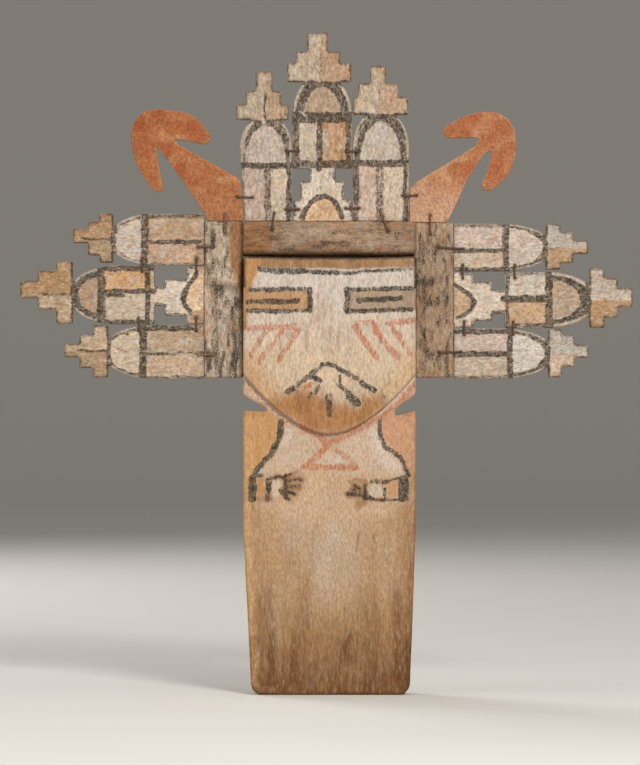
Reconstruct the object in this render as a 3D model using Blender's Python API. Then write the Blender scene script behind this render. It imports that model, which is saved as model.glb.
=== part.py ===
"""A flat kachina doll of carved and painted cottonwood, standing on its own foot.

One thick slab is both body and head, with the face left standing proud of the chest.
A tablita of thin boards surrounds the head: a crosspiece and two posts, three groups of
three domed towers with stepped clouds on top, and two anchor-shaped horns. Rawhide ties
lace each board to the next through drilled holes.

Blender units are metres and +Z is up. The doll faces -Y, and the origin is the middle of
its underside. Every size below is in millimetres.
"""

import math

import bmesh
import bpy
from mathutils import Vector

MM = 0.001

# Gaps between pieces
SEAM = 0.4  # between two thin boards laced edge to edge
POST_GAP = 0.6  # between the head's side and a post
TIE_LIFT = 0.35  # between a tie and the board under it

# Body and head
BODY_WIDTH = 98.0
BODY_HEIGHT = 250.4
SLAB = 24.0  # thickness of chest and back
FACE_RELIEF = 4.0  # how far the face stands in front of the chest
CROWN_DISH = 0.9  # dip in the middle of the head's top edge
SHOULDER = 162.2
NOTCH_MOUTH = 9.4  # height of the neck notch at the body's side
NOTCH_LEFT = {"depth": 13.8, "sag": 0.3, "nose": 0.7}
NOTCH_RIGHT = {"depth": 11.7, "sag": 2.8, "nose": 1.0}
JAW = 182.5  # where the jaw line leaves the body's sides
CHIN = 148.6  # lowest point of the face
JAW_POWER = 1.76  # 2 would be a parabola, 1 a plain V
TAPER_START = 95.0
TAPER_LEFT = 4.4
TAPER_RIGHT = 3.2
FOOT_RADIUS = 6.5
BODY_EDGE = 1.8

# Thin boards of the tablita
STOCK = 7.0  # thickness of every thin board
STOCK_MIDDLE = -3.0  # their middle plane, counted from the slab's middle plane
BOARD_EDGE = 0.6
BAR_HEIGHT = 19.8
BAR_SHORT = 1.6  # the crosspiece stops this much short of the right post
BAR_ROUND = 4.2  # worn lower front edge of the crosspiece
POST_LEFT_WIDTH = 21.9
POST_RIGHT_WIDTH = 21.2
POST_LENGTH = 89.0
POST_RIGHT_DROP = 0.9  # the right post's top stands this far below the crosspiece's

# Towers. A foot is listed from the frame upwards and a cloud from the dome upwards, each
# step as its insets from the tower's two side walls, then its height. A foot inset is how far
# a wall leans in at the very bottom.
TOP_AXIS = -4.2  # middle of the top group, from the body's middle
LEFT_AXIS_DROP = 42.0  # middle of the left group, below the crosspiece's top
RIGHT_AXIS_DROP = 44.8
TOP_LEFT = {
    "width": 29.6, "wall": 42.3, "dome": 15.7, "neck": 15.5, "foot_inset": (2.9, 0.0),
    "cloud": [(-2.2, 1.8, 8.6), (3.2, 6.1, 7.7), (9.0, 11.1, 11.1)],
}
TOP_CENTER = {
    "width": 34.0, "wall": 30.0, "dome": 19.5, "neck": 19.5,
    "foot": [(0.7, 0.0, 12.2), (4.4, 4.2, 10.6), (9.5, 9.4, 7.4)],
    "cloud": [(-3.0, 0.4, 10.6), (2.0, 6.8, 6.6), (8.4, 13.8, 10.9)],
}
TOP_RIGHT = {
    "width": 32.3, "wall": 41.5, "dome": 19.5, "neck": 16.3,
    "cloud": [(0.2, 0.5, 10.0), (3.2, 6.2, 7.7), (10.1, 13.1, 10.1)],
}
LEFT_UPPER = {
    "width": 29.3, "wall": 30.0, "dome": 22.0, "neck": 13.9,
    "cloud": [(1.5, -0.2, 7.7), (5.7, 4.5, 6.6), (12.7, 8.5, 8.6)],
}
LEFT_CENTER = {
    "width": 33.4, "wall": 21.5, "dome": 25.2, "neck": 14.3,
    "foot": [(0.3, 0.3, 9.9), (5.0, 7.5, 12.6), (10.7, 12.1, 6.0)],
    "cloud": [(0.4, -2.5, 9.4), (8.5, 2.9, 10.6), (14.9, 8.6, 10.1)],
}
LEFT_LOWER = {
    "width": 30.7, "wall": 28.5, "dome": 26.3, "neck": 14.9,
    "cloud": [(0.7, 0.3, 8.6), (6.1, 5.7, 7.7), (12.2, 10.8, 8.9)],
}
RIGHT_UPPER = {
    "width": 27.2, "wall": 25.1, "dome": 27.5, "neck": 14.3,
    "cloud": [(0.0, 1.1, 8.3), (4.6, 4.8, 7.4), (9.5, 10.0, 8.6)],
}
RIGHT_CENTER = {
    "width": 32.0, "wall": 23.8, "dome": 24.6, "neck": 17.2,
    "foot": [(0.3, 0.3, 11.3), (5.7, 4.0, 10.9), (10.3, 8.3, 6.9)],
    "cloud": [(-2.3, 0.0, 8.6), (3.4, 6.1, 7.7), (9.4, 12.0, 8.5)],
}
RIGHT_LOWER = {
    "width": 28.6, "wall": 27.1, "dome": 26.9, "neck": 14.5,
    "cloud": [(0.2, 0.8, 7.7), (3.7, 6.7, 7.2), (9.2, 12.0, 8.1)],
}
DOME_STEPS = 7

# Horns. Both are measured outwards and upwards from the inner corner of the foot. The head
# is a bent band, as the middle and full width of stations from the lower tip to the upper
# one, and the shaft is its two edges from the foot to the notches beside the head.
LEFT_HORN = {
    "head": [
        (49.6, 19.5, 6.3), (54.9, 31.7, 11.7), (57.5, 44.6, 14.6), (53.7, 53.2, 20.0),
        (44.0, 55.2, 16.9), (33.1, 53.5, 15.4), (23.7, 48.2, 8.9),
    ],
    "outer": [(20.9, 0.0), (22.4, 3.4), (34.7, 22.2), (50.3, 43.2)],
    "inner": [(0.6, 0.0), (2.5, 23.8), (38.0, 43.8), (40.6, 47.2)],
}
RIGHT_HORN = {
    "head": [
        (45.0, 21.9, 7.5), (50.1, 28.7, 11.7), (53.7, 40.2, 14.3), (49.4, 51.9, 20.6),
        (39.9, 55.7, 14.9), (30.5, 54.2, 11.7), (22.5, 52.0, 7.3),
    ],
    "outer": [(21.2, 0.0), (24.4, 5.8), (33.4, 25.4), (42.4, 39.2), (46.8, 41.6)],
    "inner": [(2.3, 0.0), (0.3, 19.6), (3.8, 23.1), (37.7, 43.7), (40.3, 48.0)],
}
HORN_STEPS = 3
HORN_TIP_STEPS = 4

# Rawhide ties. A group's towers are laced twice at each side of the centre tower, low and
# high, and every other tie is listed with the corner it is placed from and its two ends.
TIE_REACH_LOW = 4.0  # from the seam to each hole
TIE_REACH_HIGH = 3.8
SEAM_TIES = {
    "top_left": (6.6, 40.1), "top_right": (7.2, 39.8),
    "left_lower": (4.4, 37.4), "left_upper": (4.2, 35.3),
    "right_upper": (5.0, 34.8), "right_lower": (5.9, 33.9),
}
EDGE_TIES = {
    "tie_crosspiece_left": ("top_left", (16.6, 5.2), (15.4, -4.9)),
    "tie_crosspiece_right": ("top_right", (-16.6, 6.4), (-11.9, -5.6)),
    "tie_left_post_upper": ("left_upper", (-4.1, -4.0), (5.4, -4.2)),
    "tie_left_post_lower": ("left_lower", (-3.8, -1.8), (5.4, -1.6)),
    "tie_right_post_upper": ("right_upper", (-8.9, 0.2), (5.8, -0.8)),
    "tie_right_post_lower": ("right_lower", (-8.4, 0.6), (4.8, 1.0)),
    "tie_horn_left_side": ("top_left", (-5.0, 14.2), (4.4, 13.8)),
    "tie_horn_right_side": ("top_right", (4.6, 15.0), (-3.8, 14.8)),
    "tie_horn_left_foot": ("top_left", (-11.4, 4.4), (-11.6, -6.6)),
    "tie_horn_right_foot": ("top_right", (12.0, 4.0), (12.4, -7.4)),
}
TIE_WIDTH = 1.9
TIE_THICKNESS = 1.0
TIE_CORNER = 0.8
TIE_HOLE_RADIUS = 1.4
TIE_HOLE_SIDES = 8


def clear_scene():
    for obj in list(bpy.data.objects):
        bpy.data.objects.remove(obj)


def make_material(name, colour, roughness):
    material = bpy.data.materials.new(name)
    material.use_nodes = True
    shader = material.node_tree.nodes["Principled BSDF"]
    shader.inputs["Base Color"].default_value = (*colour, 1.0)
    shader.inputs["Roughness"].default_value = roughness
    shader.inputs["Metallic"].default_value = 0.0
    return material


# Outlines, as points (x, z) running anticlockwise when seen from the front


def arc(center, radius, start, end, steps):
    """Points on a circle, from one angle to another, in degrees."""
    angles = [math.radians(start + (end - start) * i / steps) for i in range(steps + 1)]
    return [(center[0] + radius * math.cos(a), center[1] + radius * math.sin(a)) for a in angles]


def notch(side, spec):
    """The neck notch at one side of the body, from its lower lip to its upper one."""
    half = BODY_WIDTH / 2
    inner = half - spec["depth"]
    return [
        (side * half, SHOULDER),
        (side * inner, SHOULDER - spec["sag"]),
        (side * inner, SHOULDER + spec["nose"]),
        (side * half, SHOULDER + NOTCH_MOUTH),
    ]


def body_outline():
    half = BODY_WIDTH / 2
    left, right = TAPER_LEFT - half, half - TAPER_RIGHT
    points = arc((left + FOOT_RADIUS, FOOT_RADIUS), FOOT_RADIUS, 180, 270, 5)
    points += arc((right - FOOT_RADIUS, FOOT_RADIUS), FOOT_RADIUS, 270, 360, 5)
    points += [(half, TAPER_START)] + notch(1, NOTCH_RIGHT)
    crown_steps = 8
    for i in range(crown_steps + 1):
        share = 1 - 2 * i / crown_steps
        dip = CROWN_DISH * (1 - share * share)
        points.append((half * share, BODY_HEIGHT - dip))
    points += notch(-1, NOTCH_LEFT)[::-1] + [(-half, TAPER_START)]
    return points


def jaw_height(x):
    """Height of the jaw line: flat at the chin, rising ever faster towards the sides."""
    return CHIN + (JAW - CHIN) * abs(2 * x / BODY_WIDTH) ** JAW_POWER


def tower_outline(spec):
    """A tower in its own frame, upright on z = 0 with its middle on x = 0."""
    half = spec["width"] / 2
    right, z = [], 0.0
    for _, inset, height in spec.get("foot", []):
        right += [(half - inset, z), (half - inset, z + height)]
        z += height
    left = []
    z = 0.0
    for inset, _, height in spec.get("foot", []):
        left += [(inset - half, z), (inset - half, z + height)]
        z += height
    foot_left, foot_right = spec.get("foot_inset", (0.0, 0.0))
    spring = z + spec["wall"]
    squeeze = math.sqrt(1 - (spec["neck"] / spec["width"]) ** 2)
    for i in range(DOME_STEPS + 1):
        share = i / DOME_STEPS
        reach = half * math.sqrt(1 - (share * squeeze) ** 2)
        right.append((reach, spring + spec["dome"] * share))
        left.append((-reach, spring + spec["dome"] * share))
    foot_points = 2 * len(spec.get("foot", []))
    right.insert(foot_points, (half - foot_right, z))
    left.insert(foot_points, (foot_left - half, z))
    z = spring + spec["dome"]
    for inset_left, inset_right, height in spec["cloud"]:
        right += [(half - inset_right, z), (half - inset_right, z + height)]
        left += [(inset_left - half, z), (inset_left - half, z + height)]
        z += height
    return right + left[::-1]


def smooth_stations(stations, steps):
    """Stations on a curve through the given ones, with their widths blended too."""
    dense = []
    for i in range(len(stations) - 1):
        here, ahead = Vector(stations[i]), Vector(stations[i + 1])
        before = Vector(stations[max(i - 1, 0)])
        after = Vector(stations[min(i + 2, len(stations) - 1)])
        start_pull, end_pull = (ahead - before) / 2, (after - here) / 2
        for step in range(steps):
            t = step / steps
            dense.append(
                here * (2 * t**3 - 3 * t**2 + 1) + start_pull * (t**3 - 2 * t**2 + t)
                + ahead * (3 * t**2 - 2 * t**3) + end_pull * (t**3 - t**2)
            )
    dense.append(Vector(stations[-1]))
    return dense


def horn_outline(spec):
    """A horn pointing right, with the inner corner of its foot at x = 0 on z = 0."""
    stations = smooth_stations(spec["head"], HORN_STEPS)
    far_side, near_side = [], []
    for i, station in enumerate(stations):
        before, after = stations[max(i - 1, 0)], stations[min(i + 1, len(stations) - 1)]
        along = (after.xy - before.xy).normalized()
        outward = Vector((along.y, -along.x)) * (station.z / 2)
        far_side.append(tuple(station.xy + outward))
        near_side.append(tuple(station.xy - outward))
    tips = []
    for station, neighbour in ((stations[0], stations[1]), (stations[-1], stations[-2])):
        away = station.xy - neighbour.xy
        heading = math.degrees(math.atan2(away.y, away.x))
        tip = arc(station.xy, station.z / 2, heading - 90, heading + 90, HORN_TIP_STEPS)
        tips.append(tip[1:-1])

    def nearest(place):
        return min(range(len(near_side)), key=lambda i: math.dist(near_side[i], place))

    lower_notch = nearest(spec["outer"][-1])
    upper_notch = nearest(spec["inner"][-1])
    return (
        spec["outer"] + near_side[:lower_notch][::-1] + tips[0] + far_side
        + tips[1] + near_side[upper_notch + 1:][::-1] + spec["inner"][::-1]
    )


def turned(points, quarters, x, z):
    """Points turned anticlockwise by quarter turns as seen from the front, then moved."""
    for _ in range(quarters % 4):
        points = [(-q, p) for p, q in points]
    return [(p + x, q + z) for p, q in points]


def mirrored(points):
    return [(-p, q) for p, q in points][::-1]


def contains(outline, point):
    """Whether a point lies inside an outline, by counting the edges to its right."""
    inside = False
    x, z = point
    for (ax, az), (bx, bz) in zip(outline, outline[1:] + outline[:1]):
        if (az > z) != (bz > z) and x < ax + (bx - ax) * (z - az) / (bz - az):
            inside = not inside
    return inside


# Solids


def prism(name, outline, front, back):
    """An object with this outline between two planes of y, all in millimetres."""
    mesh = bpy.data.meshes.new(name)
    bm = bmesh.new()
    face = bm.faces.new([bm.verts.new((x * MM, front * MM, z * MM)) for x, z in outline])
    back_face = bmesh.ops.extrude_face_region(bm, geom=[face])
    moved = [v for v in back_face["geom"] if isinstance(v, bmesh.types.BMVert)]
    bmesh.ops.translate(bm, verts=moved, vec=(0, (back - front) * MM, 0))
    bmesh.ops.recalc_face_normals(bm, faces=bm.faces)
    bm.to_mesh(mesh)
    bm.free()
    obj = bpy.data.objects.new(name, mesh)
    bpy.context.scene.collection.objects.link(obj)
    return obj


def soften(obj, width, segments):
    """Rounds every sharp edge, as a knife and handling leave them."""
    bevel = obj.modifiers.new("worn_edges", "BEVEL")
    bevel.limit_method = "ANGLE"
    bevel.angle_limit = math.radians(38)
    bevel.width = width * MM
    bevel.segments = segments


def hide_cutter(obj):
    obj.hide_render = True
    obj.display_type = "WIRE"


def cut(obj, cutter):
    boolean = obj.modifiers.new("cut_" + cutter.name, "BOOLEAN")
    boolean.operation = "DIFFERENCE"
    boolean.object = cutter
    hide_cutter(cutter)


def drill(obj, centers, front, back):
    """Cuts one straight hole for each tie end that comes through this board."""
    if not centers:
        return
    mesh = bpy.data.meshes.new(obj.name + "_drill")
    bm = bmesh.new()
    for x, z in centers:
        ring = arc((x, z), TIE_HOLE_RADIUS, 0, 360, TIE_HOLE_SIDES)[:-1]
        near = [bm.verts.new((p * MM, (front - 1) * MM, q * MM)) for p, q in ring]
        far = [bm.verts.new((p * MM, (back + 1) * MM, q * MM)) for p, q in ring]
        bm.faces.new(near)
        bm.faces.new(far[::-1])
        for i in range(TIE_HOLE_SIDES):
            j = (i + 1) % TIE_HOLE_SIDES
            bm.faces.new((near[j], near[i], far[i], far[j]))
    bmesh.ops.recalc_face_normals(bm, faces=bm.faces)
    bm.to_mesh(mesh)
    bm.free()
    cutter = bpy.data.objects.new(obj.name + "_drill", mesh)
    bpy.context.scene.collection.objects.link(cutter)
    cut(obj, cutter)


def make_body(material):
    """The slab, with the chest and lower front carved back from the face."""
    front, back = -SLAB / 2 - FACE_RELIEF, SLAB / 2
    body = prism("doll_body", body_outline(), front, back)
    body.data.materials.append(material)
    beyond = BODY_WIDTH / 2 + 10
    jaw_steps = 22
    jaw = [-beyond + 2 * beyond * i / jaw_steps for i in range(jaw_steps + 1)]
    ground = [(-beyond, -10.0), (beyond, -10.0)] + [(x, jaw_height(x)) for x in jaw[::-1]]
    cutter = prism("chest_cutter", ground, front - 5, -SLAB / 2)
    cut(body, cutter)
    soften(body, BODY_EDGE, 2)
    return body


def thin_board(name, outline, holes, material):
    """One board of the tablita, with worn edges and its tie holes."""
    front, back = STOCK_MIDDLE - STOCK / 2, STOCK_MIDDLE + STOCK / 2
    board = prism(name, outline, front, back)
    board.data.materials.append(material)
    soften(board, BOARD_EDGE, 1)
    drill(board, [p for p in holes if contains(outline, p)], front, back)
    return board


def make_crosspiece(outline, holes, material):
    """The board over the head. Its lower front edge is worn round, more than the others."""
    board = thin_board("crosspiece", outline, holes, material)
    low, near = min(z for _, z in outline), STOCK_MIDDLE - STOCK / 2
    half = BODY_WIDTH / 2 + 10
    profile = [(near - 2, low - 2), (near + BAR_ROUND, low - 2)]
    profile += arc((near + BAR_ROUND, low + BAR_ROUND), BAR_ROUND, 270, 180, 4)
    profile += [(near - 2, low + BAR_ROUND)]
    mesh = bpy.data.meshes.new("round_cutter")
    bm = bmesh.new()
    ends = [[bm.verts.new((x * MM, y * MM, z * MM)) for y, z in profile] for x in (-half, half)]
    bm.faces.new(ends[0])
    bm.faces.new(ends[1][::-1])
    for i in range(len(profile)):
        j = (i + 1) % len(profile)
        bm.faces.new((ends[0][j], ends[0][i], ends[1][i], ends[1][j]))
    bmesh.ops.recalc_face_normals(bm, faces=bm.faces)
    bm.to_mesh(mesh)
    bm.free()
    cutter = bpy.data.objects.new("round_cutter", mesh)
    bpy.context.scene.collection.objects.link(cutter)
    cut(board, cutter)
    return board


def make_tie(name, start, end, material):
    """A closed loop of flat thong through two holes, with cut corners."""
    start, end = Vector(start), Vector(end)
    length = (end - start).length
    along = (end - start) / length
    across = Vector((-along.y, along.x))
    lift = TIE_LIFT + TIE_THICKNESS / 2
    front = STOCK_MIDDLE - STOCK / 2 - lift
    back = STOCK_MIDDLE + STOCK / 2 + lift
    c = TIE_CORNER
    loop = [
        (c, front), (length - c, front), (length, front + c), (length, back - c),
        (length - c, back), (c, back), (0, back - c), (0, front + c),
    ]
    middle = Vector((length / 2, (front + back) / 2))
    mesh = bpy.data.meshes.new(name)
    bm = bmesh.new()
    rings = []
    for i, point in enumerate(loop):
        here = Vector(point)
        before, after = Vector(loop[i - 1]), Vector(loop[(i + 1) % len(loop)])
        first, second = (here - before).normalized(), (after - here).normalized()
        bisector = (first + second).normalized()
        outward = Vector((bisector.y, -bisector.x))
        if outward.dot(here - middle) < 0:
            outward = -outward
        outward *= TIE_THICKNESS / 2 / bisector.dot(first)
        ring = []
        for out, side in ((1, 1), (1, -1), (-1, -1), (-1, 1)):
            place = here + outward * out
            spot = start + along * place.x + across * (side * TIE_WIDTH / 2)
            ring.append(bm.verts.new((spot.x * MM, place.y * MM, spot.y * MM)))
        rings.append(ring)
    for i, ring in enumerate(rings):
        following = rings[(i + 1) % len(rings)]
        for k in range(4):
            m = (k + 1) % 4
            bm.faces.new((ring[k], ring[m], following[m], following[k]))
    bmesh.ops.recalc_face_normals(bm, faces=bm.faces)
    bm.to_mesh(mesh)
    bm.free()
    obj = bpy.data.objects.new(name, mesh)
    bpy.context.scene.collection.objects.link(obj)
    obj.data.materials.append(material)
    return obj


# Layout


def frame_lines():
    """The lines that the thin boards meet at, all worked out from the body."""
    half = BODY_WIDTH / 2
    left_inner, right_inner = -half - POST_GAP, half + POST_GAP
    top = BODY_HEIGHT + SEAM + BAR_HEIGHT
    return {
        "top": top,
        "bottom": top - POST_LENGTH,
        "left_axis": top - LEFT_AXIS_DROP,
        "right_axis": top - RIGHT_AXIS_DROP,
        "left_post_top": top,
        "right_post_top": top - POST_RIGHT_DROP,
        "left_inner": left_inner,
        "left_outer": left_inner - POST_LEFT_WIDTH,
        "right_inner": right_inner,
        "right_outer": right_inner + POST_RIGHT_WIDTH,
    }


def rectangle(left, right, low, high):
    return [(left, low), (right, low), (right, high), (left, high)]


def side_shift(center, side):
    """From a group's middle to the middle of the tower beside its centre tower."""
    return center["width"] / 2 + SEAM + side["width"] / 2


def tower_groups(lines):
    """Each group: its towers' names and specs, its quarter turns and its middle's place."""
    return [
        ("top", ("left", TOP_LEFT), ("center", TOP_CENTER), ("right", TOP_RIGHT),
         0, (TOP_AXIS, lines["top"] + SEAM)),
        ("left", ("lower", LEFT_LOWER), ("center", LEFT_CENTER), ("upper", LEFT_UPPER),
         1, (lines["left_outer"] - SEAM, lines["left_axis"])),
        ("right", ("upper", RIGHT_UPPER), ("center", RIGHT_CENTER), ("lower", RIGHT_LOWER),
         3, (lines["right_outer"] + SEAM, lines["right_axis"])),
    ]


def tower_boards(lines):
    """Name, outline and frame of each tower: quarter turns and the foot's middle."""
    boards = {}
    for group, first, center, last, quarters, place in tower_groups(lines):
        for (name, spec), shift in (
            (first, -side_shift(center[1], first[1])),
            (center, 0.0),
            (last, side_shift(center[1], last[1])),
        ):
            local = [(x + shift, z) for x, z in tower_outline(spec)]
            boards["tower_" + group + "_" + name] = turned(local, quarters, *place)
    return boards


def horn_edges():
    """Where the outer walls of the top group stand, at their feet."""
    left = TOP_AXIS - side_shift(TOP_CENTER, TOP_LEFT) - TOP_LEFT["width"] / 2
    right = TOP_AXIS + side_shift(TOP_CENTER, TOP_RIGHT) + TOP_RIGHT["width"] / 2
    return left + TOP_LEFT["foot_inset"][0], right


def seam_ties(lines):
    """The four ties that lace each group's towers together, named by tower and place."""
    ties = {}
    for group, first, center, last, quarters, place in tower_groups(lines):
        for (name, _), side in ((first, -1), (last, 1)):
            seam = side * (center[1]["width"] + SEAM) / 2
            heights = SEAM_TIES[group + "_" + name]
            for level, height, reach in zip(
                ("low", "high"), heights, (TIE_REACH_LOW, TIE_REACH_HIGH)
            ):
                ends = [(seam - reach, height), (seam + reach, height)]
                ties[f"tie_{group}_{name}_{level}"] = turned(ends, quarters, *place)
    return ties


def edge_ties(lines):
    """The ties across the edges of the frame, each as its two ends."""
    left_edge, right_edge = horn_edges()
    corners = {"top_left": (left_edge, lines["top"]), "top_right": (right_edge, lines["top"])}
    for group, first, center, last, _, _ in tower_groups(lines)[1:]:
        turn = 1 if group == "left" else -1
        for (name, spec), side in ((first, -1), (last, 1)):
            middle = lines[group + "_axis"] + turn * side * side_shift(center[1], spec)
            corners[group + "_" + name] = (lines[group + "_outer"], middle)
    ties = {}
    for name, (corner, start, end) in EDGE_TIES.items():
        x, z = corners[corner]
        ties[name] = [(x + start[0], z + start[1]), (x + end[0], z + end[1])]
    return ties


def main():
    clear_scene()
    bare = make_material("bare_cottonwood", (0.46, 0.27, 0.13), 0.75)
    painted = make_material("whitewashed_cottonwood", (0.58, 0.49, 0.37), 0.85)
    weathered = make_material("weathered_cottonwood", (0.30, 0.22, 0.15), 0.85)
    ochre = make_material("ochre_painted_cottonwood", (0.50, 0.20, 0.08), 0.8)
    rawhide = make_material("rawhide", (0.13, 0.06, 0.03), 0.6)

    lines = frame_lines()
    ties = {**seam_ties(lines), **edge_ties(lines)}
    holes = [end for ends in ties.values() for end in ends]

    make_body(bare)
    low, top = BODY_HEIGHT + SEAM, lines["top"]
    bar_end = lines["right_inner"] - SEAM - BAR_SHORT
    bar = rectangle(lines["left_inner"] + SEAM, bar_end, low, top)
    make_crosspiece(bar, holes, weathered)
    for side in ("left", "right"):
        edges = sorted((lines[side + "_inner"], lines[side + "_outer"]))
        upper = lines[side + "_post_top"]
        thin_board("post_" + side, rectangle(*edges, lines["bottom"], upper), holes, weathered)

    towers = tower_boards(lines)
    for name, outline in towers.items():
        thin_board(name, outline, holes, painted)

    left_edge, right_edge = horn_edges()
    left_place = left_edge - SEAM, lines["left_post_top"] + SEAM
    right_place = right_edge + SEAM, lines["right_post_top"] + SEAM
    left_horn = turned(mirrored(horn_outline(LEFT_HORN)), 0, *left_place)
    right_horn = turned(horn_outline(RIGHT_HORN), 0, *right_place)
    thin_board("horn_left", left_horn, holes, ochre)
    thin_board("horn_right", right_horn, holes, ochre)

    for name, (start, end) in ties.items():
        make_tie(name, start, end, rawhide)


main()
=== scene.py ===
# Looks for a kachina doll of carved, painted cottonwood with a laced tablita.
# Every board is built again over its CAD solid, with worn edges, tool marks and paint.
# Sizes are in millimetres until a mesh is made. The doll faces -Y and +Z is up.

import math
import bpy
import numpy as np
from mathutils.geometry import delaunay_2d_cdt
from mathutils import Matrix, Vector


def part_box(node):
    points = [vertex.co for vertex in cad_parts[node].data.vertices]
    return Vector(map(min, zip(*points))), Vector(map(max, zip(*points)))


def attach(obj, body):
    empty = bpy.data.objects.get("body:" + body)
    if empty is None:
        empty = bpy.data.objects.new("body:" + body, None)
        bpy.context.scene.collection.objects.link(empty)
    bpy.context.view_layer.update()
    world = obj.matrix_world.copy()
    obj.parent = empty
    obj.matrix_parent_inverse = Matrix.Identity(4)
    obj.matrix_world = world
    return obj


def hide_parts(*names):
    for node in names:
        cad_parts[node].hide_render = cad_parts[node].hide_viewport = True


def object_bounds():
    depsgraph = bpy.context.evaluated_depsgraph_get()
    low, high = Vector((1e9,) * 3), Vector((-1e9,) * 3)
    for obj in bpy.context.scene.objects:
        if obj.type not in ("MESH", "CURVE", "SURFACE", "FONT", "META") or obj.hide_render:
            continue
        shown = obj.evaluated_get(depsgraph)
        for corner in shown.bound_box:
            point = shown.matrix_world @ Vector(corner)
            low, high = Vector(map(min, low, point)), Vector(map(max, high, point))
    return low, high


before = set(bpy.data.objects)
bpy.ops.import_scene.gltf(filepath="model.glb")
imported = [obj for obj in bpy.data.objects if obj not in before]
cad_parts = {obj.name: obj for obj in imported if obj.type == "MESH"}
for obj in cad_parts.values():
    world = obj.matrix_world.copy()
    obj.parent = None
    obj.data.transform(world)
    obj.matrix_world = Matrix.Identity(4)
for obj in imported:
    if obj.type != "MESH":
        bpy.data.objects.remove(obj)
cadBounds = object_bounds()
mm = 0.001

# Paint marks are placed by the photograph: its pixels are counted from the doll's middle
# line and from the plane it stands on, and turned to millimetres.
photo = {"mmPerPixel": 0.5723, "middle": 329.5, "foot": 694.5}


def spots(*pixels):
    # Pixels of the photograph to millimetres across and up, on the doll's front plane
    places = np.array(pixels, float)
    across = places[:, 0] - photo["middle"]
    up = photo["foot"] - places[:, 1]
    return np.stack([across, up], 1) * photo["mmPerPixel"]


def paintColour(hexCode):
    # sRGB hex to linear: below 0.04045 divided by 12.92, else ((c + 0.055) / 1.055) ^ 2.4
    levels = np.array([int(hexCode[i:i + 2], 16) for i in (1, 3, 5)]) / 255
    return np.where(levels <= 0.04045, levels / 12.92, ((levels + 0.055) / 1.055) ** 2.4)


# Noise and distances, each worked out for all points of a piece at once

noiseTable = np.random.default_rng(11).random((256, 256))


def softNoise(u, v, seed=0):
    # Value noise from 0 to 1: four table values round a point, blended by 3t^2 - 2t^3
    u, v = u + 37.7 * seed, v + 71.3 * seed
    iu, iv = np.floor(u).astype(int), np.floor(v).astype(int)
    fu, fv = u - iu, v - iv
    fu, fv = fu * fu * (3 - 2 * fu), fv * fv * (3 - 2 * fv)
    low = noiseTable[iu & 255, iv & 255] * (1 - fu) + noiseTable[(iu + 1) & 255, iv & 255] * fu
    iv = iv + 1
    high = noiseTable[iu & 255, iv & 255] * (1 - fu) + noiseTable[(iu + 1) & 255, iv & 255] * fu
    return low * (1 - fv) + high * fv


def lineDistance(points, path):
    # Least distance to any segment: the point minus its foot on the segment, which is held
    # between the segment's two ends
    points, path = points.astype(np.float32), path.astype(np.float32)
    (ax, az), (dx, dz) = path[:-1].T, (path[1:] - path[:-1]).T
    length = np.hypot(dx, dz)
    dx, dz = dx / np.maximum(length, 1e-9), dz / np.maximum(length, 1e-9)
    nearest = np.empty(len(points))
    block = max(1, 150000 // len(ax))
    for first in range(0, len(points), block):
        x, z = points[first:first + block, 0:1] - ax, points[first:first + block, 1:2] - az
        share = np.clip(x * dx + z * dz, 0, length)
        x -= share * dx
        z -= share * dz
        nearest[first:first + block] = np.sqrt((x * x + z * z).min(1))
    return nearest


def insideLoop(points, loop):
    # Odd number of loop edges to the right of the point
    points, loop = points.astype(np.float32), loop.astype(np.float32)
    (ax, az), (bx, bz) = loop.T, np.roll(loop, -1, 0).T
    slope = (bx - ax) / np.where(bz == az, 1, bz - az)
    inside = np.zeros(len(points), bool)
    block = max(1, 150000 // len(loop))
    for first in range(0, len(points), block):
        x, z = points[first:first + block, 0:1], points[first:first + block, 1:2]
        right = x < ax + slope * (z - az)
        crossed = ((az > z) != (bz > z)) & right
        inside[first:first + block] = np.count_nonzero(crossed, axis=1) % 2 == 1
    return inside


def closed(loop):
    return np.concatenate([loop, loop[:1]])


def handDrawn(points):
    # Shifts points by slow noise, so that what is painted there wavers by about 0.4 mm
    x, z = points[:, 0] / 3.6, points[:, 1] / 3.6
    return points + 0.8 * (np.stack([softNoise(x, z, 7), softNoise(x, z, 8)], 1) - 0.5)


def stroke(points, path, width, cap=1.0, soft=0.7):
    # Paint level of a brush stroke: half at its edge, and no more than the cap inside
    reach = width + soft
    near = ((points > path.min(0) - reach) & (points < path.max(0) + reach)).all(1)
    level = np.full(len(points), -1.0)
    own = points[near]
    waver = 0.85 + 0.3 * softNoise(own[:, 0] / 4.5, own[:, 1] / 4.5, 9)
    level[near] = 0.5 + (width / 2 * waver - lineDistance(own, path)) / soft
    return np.minimum(cap, level)


def brushed(points, path, width, soft):
    # The same stroke as a share of paint from 0 to 1
    return np.clip(stroke(points, path, width, 1.0, soft), 0, 1)


def patch(points, loop, soft):
    # Share of paint in an area: half at its edge, rising inwards over the soft width
    side = np.where(insideLoop(points, loop), 1, -1)
    return np.clip(0.5 + side * lineDistance(points, closed(loop)) / soft, 0, 1)


def ramp(value, low, high):
    # From 0 at the low value to 1 at the high one, which may be the smaller of the two
    return np.clip((value - low) / (high - low), 0, 1)


def past(value, line, blur=0.4):
    # Share that lies beyond a line, blurred by this much each way
    return ramp(value, line - blur, line + blur)


# Flat boards


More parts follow.
